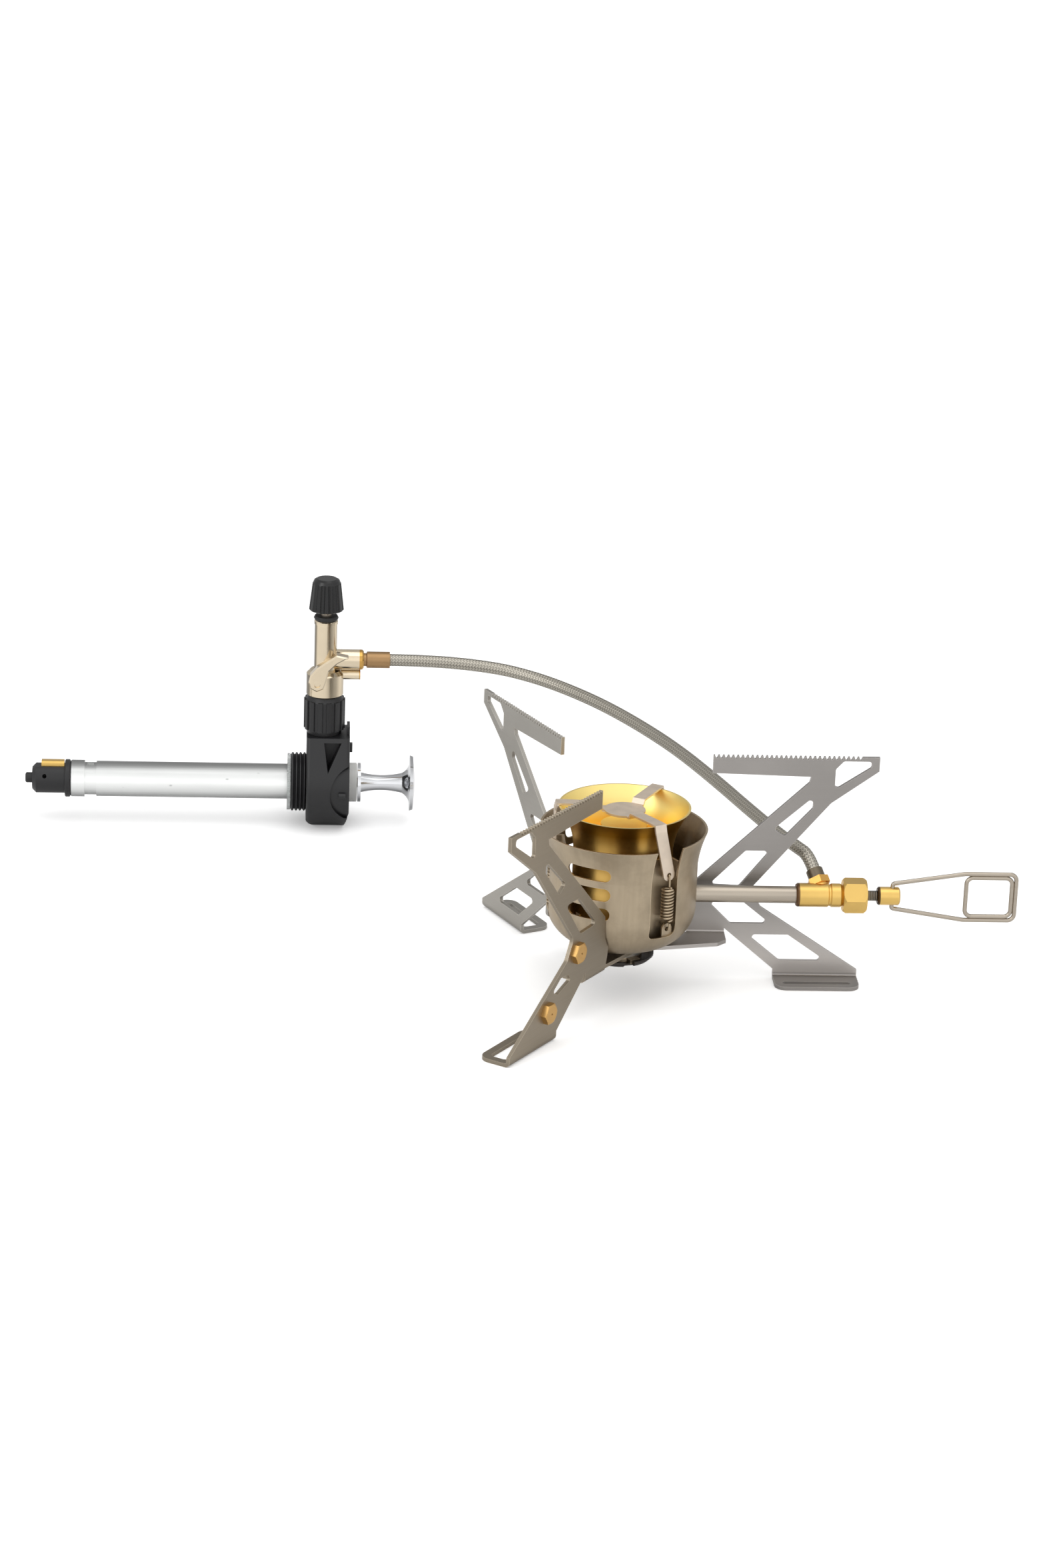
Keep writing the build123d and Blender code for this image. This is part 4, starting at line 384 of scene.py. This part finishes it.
def spun_cup(name, colour):
    """Spun and brushed steel: fine lines round the burner's axis and dull smudges."""
    m = Nodes(name)
    space = m.round_axis(BURNER, "Z", 0.030)
    lines = m.noise(m.moved(space, scale=(35, 3200, 900)), 1.0, 2.0)
    streaks = m.noise(m.moved(space, scale=(420, 60, 60)), 1.0, 4.0)
    cloud = m.noise(m.place, 55, 5.0, 0.6)
    base = m.mix(m.ramp(streaks, (0.3, 0.0), (0.75, 1.0)), shade(colour, 0.96), shade(colour, 1.10))
    base = m.mix(m.ramp(cloud, (0.45, 0.0), (0.72, 0.75)), base, shade(colour, 0.70))
    # Painted shade low on the cup
    base = m.mix(m.level(BURNER, *CUP_BOTTOM_SHADE), base, shade(colour, 0.80))
    # Edges drawn lighter: wear and painted highlight
    base = m.mix(m.edges(SHEET_WEAR_AND_HIGHLIGHT), base, shade(colour, 2.2))
    rough = m.math("ADD", 0.34, m.math("MULTIPLY", cloud, 0.16))
    return m.finish(base, rough, 1.0, [(lines, 0.000005), (cloud, 0.00008)])


def turned_metal(name, colour, roughness, centre=None, axis="Z", band=None, flags=None):
    """Clean brass or bright metal with turned lines round an axis, and edges drawn brighter for
    wear and as painted highlight.

    A band is ((start, end), colour): another colour between two places along X from the burner.
    Flags are (axis, stops): darker and lighter stripes by the way a face looks, as on polished
    metal in a studio.
    """
    m = Nodes(name)
    if centre is None:
        space = m.moved(m.place, scale=(400, 400, 400))
    else:
        space = m.moved(m.round_axis(centre, axis, 0.01), scale=(60, 3000, 3000))
    lines = m.noise(space, 1.0, 2.0)
    cloud = m.noise(m.place, 120, 4.0)
    base = m.mix(cloud, shade(colour, 0.88), shade(colour, 1.06))
    # Edges drawn lighter: wear and painted highlight
    base = m.mix(m.edges(BRASS_WEAR_AND_HIGHLIGHT), base, shade(colour, 1.22))
    if band is not None:
        (band_start, band_end), band_colour = band
        along = m.part(m.moved(m.place, BURNER), "X")
        after = m.math("GREATER_THAN", along, band_start)
        before = m.math("LESS_THAN", along, band_end)
        base = m.mix(m.math("MULTIPLY", after, before), base, band_colour)
    if flags is not None:
        flag_axis, stops = flags
        base = m.mix(1.0, base, m.ramp(m.facing(flag_axis), *stops), "MULTIPLY")
    rough = m.math("ADD", roughness - 0.04, m.math("MULTIPLY", lines, 0.12))
    return m.finish(base, rough, 1.0, [(lines, 0.000004)])


def bell_brass(name):
    """The burner's bell: below the rim a painted dark reflection of the cup, bright gold in the
    dish and on the skirt.
    """
    outer = (0.50, 0.24, 0.022)
    skirt = (1.0, 0.66, 0.20)
    inner = (1.0, 0.80, 0.30)
    orange = (1.0, 0.56, 0.06)
    rim = (1.0, 0.78, 0.34)
    m = Nodes(name)
    space = m.round_axis(BURNER, "Z", 0.02)
    lines = m.noise(m.moved(space, scale=(60, 1200, 1200)), 1.0, 2.0)
    cloud = m.noise(m.place, 60, 4.0)
    flat = m.add("ShaderNodeVectorMath", operation="MULTIPLY")
    m.link(m.moved(m.place, BURNER), flat.inputs[0])
    flat.inputs[1].default_value = (1, 1, 0)
    inside = m.math("LESS_THAN", m.along_normal(flat.outputs[0]), BELL_INWARD)
    top = Vector((BURNER.x, BURNER.y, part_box("burner_bell")[1].z))
    bowl = m.mix(m.level(top, *BELL_BOWL), orange, inner)
    bowl = m.mix(m.math("MULTIPLY", cloud, 0.3), bowl, shade(inner, 0.8))
    # Painted reflection: the wall dark under the rim, as it mirrors the dark cup, and gold lower
    # down
    wall = m.mix(m.level(top, *BELL_SKIRT), outer, skirt)
    wall = m.mix(m.math("MULTIPLY", cloud, 0.5), wall, shade(outer, 0.7))
    # Edges in the light rim colour: wear and painted highlight
    base = m.mix(m.edges(SOFT_WEAR_AND_HIGHLIGHT), m.mix(inside, wall, bowl), rim)
    rough = m.math("ADD", 0.33, m.math("MULTIPLY", lines, 0.1))
    return m.finish(base, rough, 1.0, [(lines, 0.000003)])


def plain_steel(name, colour, roughness, stretch=(300, 300, 300)):
    """Plain steel bar, tube or wire with faint draw marks."""
    m = Nodes(name)
    marks = m.noise(m.moved(m.place, scale=stretch), 1.0, 3.0)
    base = m.mix(marks, shade(colour, 0.84), shade(colour, 1.08))
    rough = m.math("ADD", roughness - 0.06, m.math("MULTIPLY", marks, 0.16))
    return m.finish(base, rough, 1.0, [(marks, 0.000008)])


def threaded_steel(name):
    """Dull steel with the ridges of a fine thread along X, painted lighter on the crests and darker
    in the grooves.
    """
    colour = (0.24, 0.22, 0.19)
    m = Nodes(name)
    ridges = m.add("ShaderNodeTexWave", wave_type="BANDS", bands_direction="X")
    m.link(m.place, ridges.inputs["Vector"])
    ridges.inputs["Scale"].default_value = THREAD_WAVE_SCALE
    cloud = m.noise(m.place, 300, 3.0)
    # Painted light and shade: crests lighter, grooves darker
    base = m.mix(ridges.outputs["Fac"], shade(colour, 0.5), shade(colour, 1.15))
    base = m.mix(m.math("MULTIPLY", cloud, 0.4), base, shade(colour, 0.7))
    return m.finish(base, 0.34, 1.0, [(ridges.outputs["Fac"], 0.00015)])


def drawn_aluminium(name):
    """Satin drawn aluminium: lines along the barrel, small dark dents, and painted shade above and
    below with a painted highlight band between.
    """
    colour = (0.84, 0.85, 0.84)
    m = Nodes(name)
    draw = m.noise(m.moved(m.place, scale=(25, 1500, 1500)), 1.0, 2.0)
    cloud = m.noise(m.moved(m.place, scale=(45, 160, 160)), 1.0, 4.0)
    cells = m.add("ShaderNodeTexVoronoi", feature="F1")
    m.link(m.moved(m.place, scale=(110, 190, 190)), cells.inputs["Vector"])
    cells.inputs["Scale"].default_value = 1.0
    dings = m.ramp(cells.outputs["Distance"], (0.03, 1.0), (0.10, 0.0))
    base = m.mix(cloud, shade(colour, 0.92), shade(colour, 1.05))
    # Painted light by the way a face looks: a bright band in front, painted shade above and below
    painted_light_bands = m.ramp(m.facing("Z"), (0.0, 0.42), (0.10, 0.58), (0.30, 0.92), (0.55, 1.15),
                    (0.78, 0.86), (0.92, 0.50), (1.0, 0.42))
    base = m.mix(1.0, base, painted_light_bands, "MULTIPLY")
    base = m.mix(m.math("MULTIPLY", dings, 0.6), base, shade(colour, 0.45))
    rough = m.math("ADD", 0.27, m.math("MULTIPLY", draw, 0.16))
    return m.finish(base, rough, 1.0, [(draw, 0.000004), (cloud, 0.00003)])


def moulded(name, colour, roughness=0.42, grain_depth=0.00002, edge_wear_and_highlight=2.4):
    """Moulded nylon with fine spark texture, and slightly rubbed edges drawn lighter, partly as
    painted highlight.
    """
    m = Nodes(name)
    grain = m.noise(m.place, 2600, 2.0)
    cloud = m.noise(m.place, 90, 3.0)
    base = m.mix(cloud, shade(colour, 0.8), shade(colour, 1.25))
    # Edges drawn lighter: wear and painted highlight
    base = m.mix(m.edges(SOFT_WEAR_AND_HIGHLIGHT), base, shade(colour, edge_wear_and_highlight))
    rough = m.math("ADD", roughness - 0.06, m.math("MULTIPLY", cloud, 0.14))
    return m.finish(base, rough, 0.0, [(grain, grain_depth)], IOR=1.5)


def hose_braid(name):
    """Steel braid: painted highlight on the wires on top and painted shade in the gaps between
    them.
    """
    colour = (0.46, 0.43, 0.37)
    m = Nodes(name)
    lift = m.add("ShaderNodeAttribute", attribute_name="lift")
    wires = m.noise(m.place, 1500, 2.0)
    # Colour by the braid's height: painted shade in the gaps, painted highlight on the crests
    base = m.ramp(lift.outputs["Fac"], (0.0, shade(colour, 0.05)), (0.5, shade(colour, 0.55)),
                  (1.0, shade(colour, 1.45)))
    base = m.mix(m.math("MULTIPLY", wires, 0.3), base, shade(colour, 0.6))
    return m.finish(base, 0.36, 1.0, [(wires, 0.00003)])


def dark_dish(name):
    """Steel dish, near black with cloudy tone."""
    m = Nodes(name)
    cloud = m.noise(m.place, 160, 4.0)
    tint = m.ramp(cloud, (0.3, (0.030, 0.028, 0.030)), (0.55, (0.060, 0.052, 0.046)),
                  (0.75, (0.105, 0.085, 0.065)))
    return m.finish(tint, m.math("ADD", 0.3, m.math("MULTIPLY", cloud, 0.3)), 0.8,
                    [(cloud, 0.00008)])


def fibre(name):
    """Woven fibre pad: crossed yarns with loose fuzz."""
    colour = (0.62, 0.58, 0.50)
    m = Nodes(name)
    waves = []
    for direction in ("X", "Y"):
        wave = m.add("ShaderNodeTexWave", wave_type="BANDS", bands_direction=direction)
        m.link(m.place, wave.inputs["Vector"])
        wave.inputs["Scale"].default_value = 260
        wave.inputs["Distortion"].default_value = 1.5
        waves.append(wave.outputs["Fac"])
    height = m.math("MAXIMUM", *waves)
    fuzz = m.noise(m.place, 1800, 4.0)
    base = m.mix(height, shade(colour, 0.55), shade(colour, 1.05))
    base = m.mix(m.math("MULTIPLY", fuzz, 0.4), base, shade(colour, 0.7))
    return m.finish(base, 0.92, 0.0, [(height, 0.0003), (fuzz, 0.00012)], Sheen_Weight=0.3)


def leather(name):
    """Oiled leather with pebbled grain."""
    colour = (0.24, 0.13, 0.06)
    m = Nodes(name)
    cells = m.add("ShaderNodeTexVoronoi", feature="DISTANCE_TO_EDGE")
    m.link(m.place, cells.inputs["Vector"])
    cells.inputs["Scale"].default_value = 1500
    cloud = m.noise(m.place, 200, 3.0)
    base = m.mix(cloud, shade(colour, 0.7), shade(colour, 1.3))
    return m.finish(base, m.math("ADD", 0.4, m.math("MULTIPLY", cloud, 0.2)), 0.0,
                    [(cells.outputs["Distance"], 0.0002)])


def rubber(name):
    """Soft black rubber."""
    m = Nodes(name)
    cloud = m.noise(m.place, 500, 3.0)
    base = m.mix(cloud, (0.012, 0.012, 0.012), (0.03, 0.03, 0.03))
    return m.finish(base, 0.6, 0.0, [(cloud, 0.00002)])


def clear_plastic(name):
    """Clear soft washer, slightly cloudy."""
    m = Nodes(name)
    cloud = m.noise(m.place, 300, 3.0)
    base = m.mix(cloud, (0.80, 0.83, 0.82), (0.93, 0.95, 0.94))
    return m.finish(base, m.math("ADD", 0.18, m.math("MULTIPLY", cloud, 0.12)), 0.0,
                    [(cloud, 0.00003)], Transmission_Weight=0.75, IOR=1.42)


def make_materials():
    """Materials by slot, and the own ones of single nodes."""
    brass = (0.78, 0.52, 0.16)
    pump_centre = BURNER + Vector((0, PUMP_Y, PUMP_AXIS))
    tube_centre = BURNER + Vector((0, 0, TUBE_LEVEL))
    made = {
        "cup_steel": spun_cup("cup_steel", (0.43, 0.352, 0.25)),
        "bright_steel": plain_steel("bright_steel", (0.46, 0.405, 0.335), 0.30,
                                    stretch=(60, 900, 900)),
        "spring_steel": plain_steel("spring_steel", (0.52, 0.42, 0.29), 0.40),
        "burner_brass": turned_metal("burner_brass", (0.80, 0.52, 0.13), 0.32, BURNER),
        "fitting_brass": turned_metal("fitting_brass", brass, 0.34, tube_centre, "X"),
        "jet_brass": turned_metal("jet_brass", (0.66, 0.40, 0.14), 0.36),
        "ferrule_bronze": turned_metal("ferrule_bronze", (0.38, 0.235, 0.115), 0.36),
        "dark_steel": dark_dish("dark_steel"),
        "fibre": fibre("fibre"),
        "braid": hose_braid("braid"),
        "black_nylon": moulded("black_nylon", (0.009, 0.009, 0.010)),
        "white_nylon": moulded("white_nylon", (0.72, 0.72, 0.70), 0.4, edge_wear_and_highlight=1.1),
        "clear_seal": clear_plastic("clear_seal"),
        "pump_aluminium": drawn_aluminium("pump_aluminium"),
        "handle_aluminium": turned_metal("handle_aluminium", (0.80, 0.81, 0.83), 0.11,
                                         pump_centre, "X", flags=PULL_FLAGS),
        "black_rubber": rubber("black_rubber"),
        "leather": leather("leather"),
    }
    own = {
        # The legs are one steel, each drawn in its own tone for how light falls on it: painted
        # light and shade
        "fixed_leg": brushed_sheet("leg_steel", (0.365, 0.345, 0.328), 0, painted_low_light=1.55),
        "front_leg": brushed_sheet("leg_steel_front", (0.335, 0.287, 0.222), FRONT_LEG_AZIMUTH),
        "rear_leg": brushed_sheet("leg_steel_rear", (0.41, 0.39, 0.355), REAR_LEG_AZIMUTH),
        "flame_spreader": plain_steel("spreader_steel", (0.78, 0.67, 0.55), 0.46),
        "burner_bell": bell_brass("bell_brass"),
        "flame_ring": turned_metal("ring_brass", (1.0, 0.64, 0.14), 0.32, BURNER),
        "valve_block": turned_metal("block_brass", brass, 0.34, tube_centre, "X",
                                    band=(BLOCK_BAND, (0.16, 0.09, 0.045))),
        "handle_coupler": turned_metal("coupler_brass", brass, 0.32, tube_centre, "X",
                                       band=(COUPLER_BAND, (0.07, 0.045, 0.025))),
        "hose_port": turned_metal("port_brass", (0.74, 0.42, 0.11), 0.3),
        "stove_ferrule": turned_metal("ferrule_dark", (0.17, 0.14, 0.10), 0.4),
        "valve_body": turned_metal("valve_nickel", (0.80, 0.68, 0.50), 0.12,
                                   band=(PORT_BAND, (0.62, 0.36, 0.10)), flags=VALVE_FLAGS),
        "valve_knob": moulded("knob_nylon", (0.003, 0.003, 0.0034), 0.27, grain_depth=0.000008,
                              edge_wear_and_highlight=3.0),
        "flame_spindle": threaded_steel("spindle_thread"),
    }
    return made, own


def dress_nodes(materials, own):
    """Give each CAD node its own material, or that of its slot."""
    for part in frame["record"]["subparts"]:
        piece = nodes[part["node"]]
        material = own.get(part["node"]) or materials[part["material_slot"]]
        piece.data.materials.clear()
        piece.data.materials.append(material)


def new_mesh_object(name, points, faces, material):
    """A smooth mesh piece."""
    mesh = bpy.data.meshes.new(name)
    mesh.from_pydata(points, [], faces)
    mesh.validate()
    mesh.update()
    mesh.polygons.foreach_set("use_smooth", [True] * len(mesh.polygons))
    mesh.materials.append(material)
    piece = bpy.data.objects.new(name, mesh)
    bpy.context.scene.collection.objects.link(piece)
    return piece


def hose_line():
    """Points of the hose's centreline, read from its NURBS spline."""
    curve = bpy.data.curves.new("hose_route", "CURVE")
    curve.dimensions = "3D"
    spline = curve.splines.new("NURBS")
    spline.points.add(len(HOSE_ROUTE) - 1)
    for control, place in zip(spline.points, HOSE_ROUTE):
        control.co = (*(BURNER + Vector(place)), 1)
    spline.order_u = 3
    spline.use_endpoint_u = True
    spline.resolution_u = 40
    carrier = bpy.data.objects.new("hose_route", curve)
    bpy.context.scene.collection.objects.link(carrier)
    bpy.context.view_layer.update()
    graph = bpy.context.evaluated_depsgraph_get()
    mesh = bpy.data.meshes.new_from_object(carrier.evaluated_get(graph))
    line = [vertex.co.copy() for vertex in mesh.vertices]
    bpy.data.objects.remove(carrier)
    return line


def even_steps(line, step):
    """The same line with points a step apart, and its length."""
    gaps = [(b - a).length for a, b in zip(line, line[1:])]
    total = sum(gaps)
    count = round(total / step)
    spaced = [line[0]]
    travelled = 0.0
    index = 0
    for number in range(1, count):
        target = total * number / count
        while travelled + gaps[index] < target:
            travelled += gaps[index]
            index += 1
        share = (target - travelled) / gaps[index]
        spaced.append(line[index].lerp(line[index + 1], share))
    spaced.append(line[-1])
    return spaced, total


def braid_lift(turn, along):
    """Height of the plaited bands, 0 to 1, at a turn round the hose and a place along it."""
    first = turn * BRAID_BANDS + along
    second = turn * BRAID_BANDS - along
    over = 0.5 + 0.5 * math.cos(math.pi * (math.floor(first) + second))
    lifts = []
    for place, share in ((first, over), (second, 1 - over)):
        crest = 1 - abs(2 * (place % 1) - 1) ** BAND_ROUNDNESS
        lifts.append(crest * (BAND_UNDER + (1 - BAND_UNDER) * share))
    return max(lifts)


def braid_rings(line, length):
    """Rings of points along the hose's line, with the braid as real relief, and their lifts."""
    radius = HOSE_DIAMETER / 2
    band_length = 2 * math.pi * radius / BRAID_BANDS
    points = []
    lifts = []
    way = (line[1] - line[0]).normalized()
    side = way.orthogonal().normalized()
    for index, here in enumerate(line):
        after = line[min(index + 1, len(line) - 1)]
        before = line[max(index - 1, 0)]
        new_way = (after - before).normalized()
        side = way.rotation_difference(new_way) @ side
        side = (side - new_way * side.dot(new_way)).normalized()
        way = new_way
        up = way.cross(side)
        along = index * length / (len(line) - 1) / band_length
        for number in range(RING_POINTS):
            turn = number / RING_POINTS
            lift = braid_lift(turn, along)
            reach = radius + BRAID_RELIEF * (lift - BRAID_MEAN_LIFT)
            angle = 2 * math.pi * turn
            points.append(here + (side * math.cos(angle) + up * math.sin(angle)) * reach)
            lifts.append(lift)
    return points, lifts


def tube_faces(rings):
    """Faces between the hose's rings, and one on each end."""
    faces = []
    for ring in range(rings - 1):
        base = ring * RING_POINTS
        for number in range(RING_POINTS):
            after = (number + 1) % RING_POINTS
            faces.append((base + number, base + after, base + RING_POINTS + after,
                          base + RING_POINTS + number))
    last = (rings - 1) * RING_POINTS
    faces.append(tuple(reversed(range(RING_POINTS))))
    faces.append(tuple(range(last, last + RING_POINTS)))
    return faces


def make_hose(material):
    """The braided hose, a tube with plaited bands."""
    line, length = even_steps(hose_line(), RING_STEP)
    points, lifts = braid_rings(line, length)
    hose = new_mesh_object("hose_braid", points, tube_faces(len(line)), material)
    lift_layer = hose.data.attributes.new("lift", "FLOAT", "POINT")
    lift_layer.data.foreach_set("value", lifts)
    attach(hose, "stove_and_pump")
    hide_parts("fuel_hose")


def turned_piece(name, outline, matrix, material, steps=96):
    """A piece turned from a closed (radius, height) outline about its own Z axis."""
    points = []
    faces = []
    count = len(outline)
    for step in range(steps):
        angle = 2 * math.pi * step / steps
        for radius, height in outline:
            points.append(matrix @ Vector((radius * math.cos(angle), radius * math.sin(angle),
                                           height)))
        after = (step + 1) % steps
        for index in range(count):
            follow = (index + 1) % count
            faces.append((step * count + index, after * count + index, after * count + follow,
                          step * count + follow))
    return new_mesh_object(name, points, faces, material)


def make_priming_pad(material):
    """The fibre ring in the cup's floor, crowned between its edges."""
    low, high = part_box("priming_pad")
    outer = (high.x - low.x) / 2
    rise = high.z - low.z
    seat = Vector((BURNER.x, BURNER.y, low.z))
    outline = []
    for step in range(PAD_OUTLINE_STEPS + 1):
        share = step / PAD_OUTLINE_STEPS
        reach = PAD_INNER_RADIUS + (outer - PAD_INNER_RADIUS) * share
        crown = (1 - abs(2 * share - 1) ** 5) ** 0.5
        outline.append((reach, rise * (PAD_EDGE_SHARE + PAD_CROWN_SHARE * crown)))
    outline += [(outer, 0.0), (PAD_INNER_RADIUS, 0.0)]
    pad = turned_piece("priming_pad_fibre", outline, Matrix.Translation(seat), material,
                       PAD_TURNED_STEPS)
    for vertex in pad.data.vertices:
        offset = vertex.co - seat
        if offset.z > rise * 0.3:
            round_wave = math.sin(math.atan2(offset.y, offset.x) * PAD_YARNS)
            vertex.co.z -= PAD_RIPPLE * (1 + round_wave * math.sin(offset.length * PAD_RINGS))
    pad.data.update()
    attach(pad, "stove_and_pump")
    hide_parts("priming_pad")


def make_piston_cup(material):
    """The leather cup washer on the rod, its skirt a little open."""
    low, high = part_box("piston_cup")
    radius = (high.z - low.z) / 2
    length = high.x - low.x
    outline = [(ROD_RADIUS, 0.0), (radius - 0.0020, 0.0), (radius - 0.0014, 0.0005),
               (radius - 0.0004, 0.0024), (radius, 0.0038), (radius, length - 0.0004),
               (radius - 0.0005, length), (radius - 0.0016, length), (radius - 0.0018, 0.0042),
               (radius - 0.0028, 0.0028), (ROD_RADIUS, 0.0026)]
    place = Matrix.Translation((low.x, (low.y + high.y) / 2, (low.z + high.z) / 2))
    cup = turned_piece("piston_leather", outline, place @ Matrix.Rotation(math.radians(90), 4, "Y"),
                       material)
    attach(cup, "plunger")
    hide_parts("piston_cup")


def make_floor():
    """White floor: it keeps the shadows and meets the white background.

    Reflections see it darker than the camera does, so that bright metal keeps its outline.
    """
    m = Nodes("floor_white")
    path = m.add("ShaderNodeLightPath")
    seen = m.math("MAXIMUM", path.outputs["Is Camera Ray"], path.outputs["Is Transmission Ray"])
    base = m.mix(path.outputs["Is Glossy Ray"], FLOOR_BOUNCE, FLOOR_REFLECTED)
    m.link(m.math("MULTIPLY", seen, FLOOR_FILL), m.shader.inputs["Emission Strength"])
    white = m.finish(m.mix(seen, base, FLOOR_SEEN), 0.9, 0.0, Specular_IOR_Level=0.0,
                     Emission_Color=(1, 1, 1, 1))
    mesh = bpy.data.meshes.new("floor")
    corners = [(x * FLOOR_HALF, y * FLOOR_HALF, 0) for x, y in ((-1, -1), (1, -1), (1, 1), (-1, 1))]
    mesh.from_pydata(corners, [], [(0, 1, 2, 3)])
    mesh.materials.append(white)
    floor = bpy.data.objects.new("floor", mesh)
    bpy.context.scene.collection.objects.link(floor)


def make_world():
    """A studio dome: bright overhead, in reflections bright in front, and white to the camera."""
    world = bpy.data.worlds.new("studio")
    bpy.context.scene.world = world
    world.use_nodes = True
    t = Tree(world.node_tree)
    direction = t.add("ShaderNodeTexCoord").outputs["Generated"]
    dome = t.span(t.part(direction, "Z"), *WORLD_HEIGHTS, WORLD_LOW, WORLD_HIGH)
    mirrored = t.span(t.part(direction, "Y"), -1.0, 1.0, WORLD_FRONT, WORLD_BACK)
    path = t.add("ShaderNodeLightPath")
    strength = t.choose(path.outputs["Is Glossy Ray"], dome, mirrored)
    strength = t.choose(path.outputs["Is Camera Ray"], strength, 1.0)
    background = t.add("ShaderNodeBackground")
    background.inputs["Color"].default_value = (1, 1, 1, 1)
    t.link(strength, background.inputs["Strength"])
    t.link(background.outputs[0], t.add("ShaderNodeOutputWorld").inputs["Surface"])


def soft_light(name, place, aim, size):
    """One rectangular studio light, aimed at a point near the object."""
    data = bpy.data.lights.new(name, "AREA")
    data.shape = "RECTANGLE"
    data.size, data.size_y = size
    data.energy = LIGHT_POWER
    light = bpy.data.objects.new(name, data)
    bpy.context.scene.collection.objects.link(light)
    light.location = place
    light.rotation_mode = "QUATERNION"
    light.rotation_quaternion = (Vector(aim) - Vector(place)).to_track_quat("-Z", "Y")


def make_camera():
    """The camera of the photo."""
    yaw, pitch = CAMERA_YAW, CAMERA_PITCH
    forward = Vector((-math.sin(yaw) * math.cos(pitch), math.cos(yaw) * math.cos(pitch),
                      math.sin(pitch)))
    level = Vector((math.cos(yaw), math.sin(yaw), 0))
    upright = level.cross(forward)
    right = level * math.cos(CAMERA_ROLL) + upright * math.sin(CAMERA_ROLL)
    up = upright * math.cos(CAMERA_ROLL) - level * math.sin(CAMERA_ROLL)
    data = bpy.data.cameras.new("photo_camera")
    data.sensor_width = SENSOR
    data.lens = FOCAL_PIXELS * SENSOR / max(PHOTO_WIDTH, PHOTO_HEIGHT)
    data.clip_start, data.clip_end = CAMERA_CLIP
    camera = bpy.data.objects.new("photo_camera", data)
    bpy.context.scene.collection.objects.link(camera)
    turn = Matrix((right, up, -forward)).transposed().to_4x4()
    camera.matrix_world = Matrix.Translation(BURNER + CAMERA_PLACE) @ turn
    bpy.context.scene.camera = camera


make_camera()
slot_materials, node_materials = make_materials()
dress_nodes(slot_materials, node_materials)
make_hose(slot_materials["braid"])
make_priming_pad(slot_materials["fibre"])
make_piston_cup(slot_materials["leather"])
make_floor()
make_world()
soft_light("top_light", *TOP_LIGHT)
soft_light("left_light", *LEFT_LIGHT)
bpy.context.scene.view_settings.view_transform = "Standard"
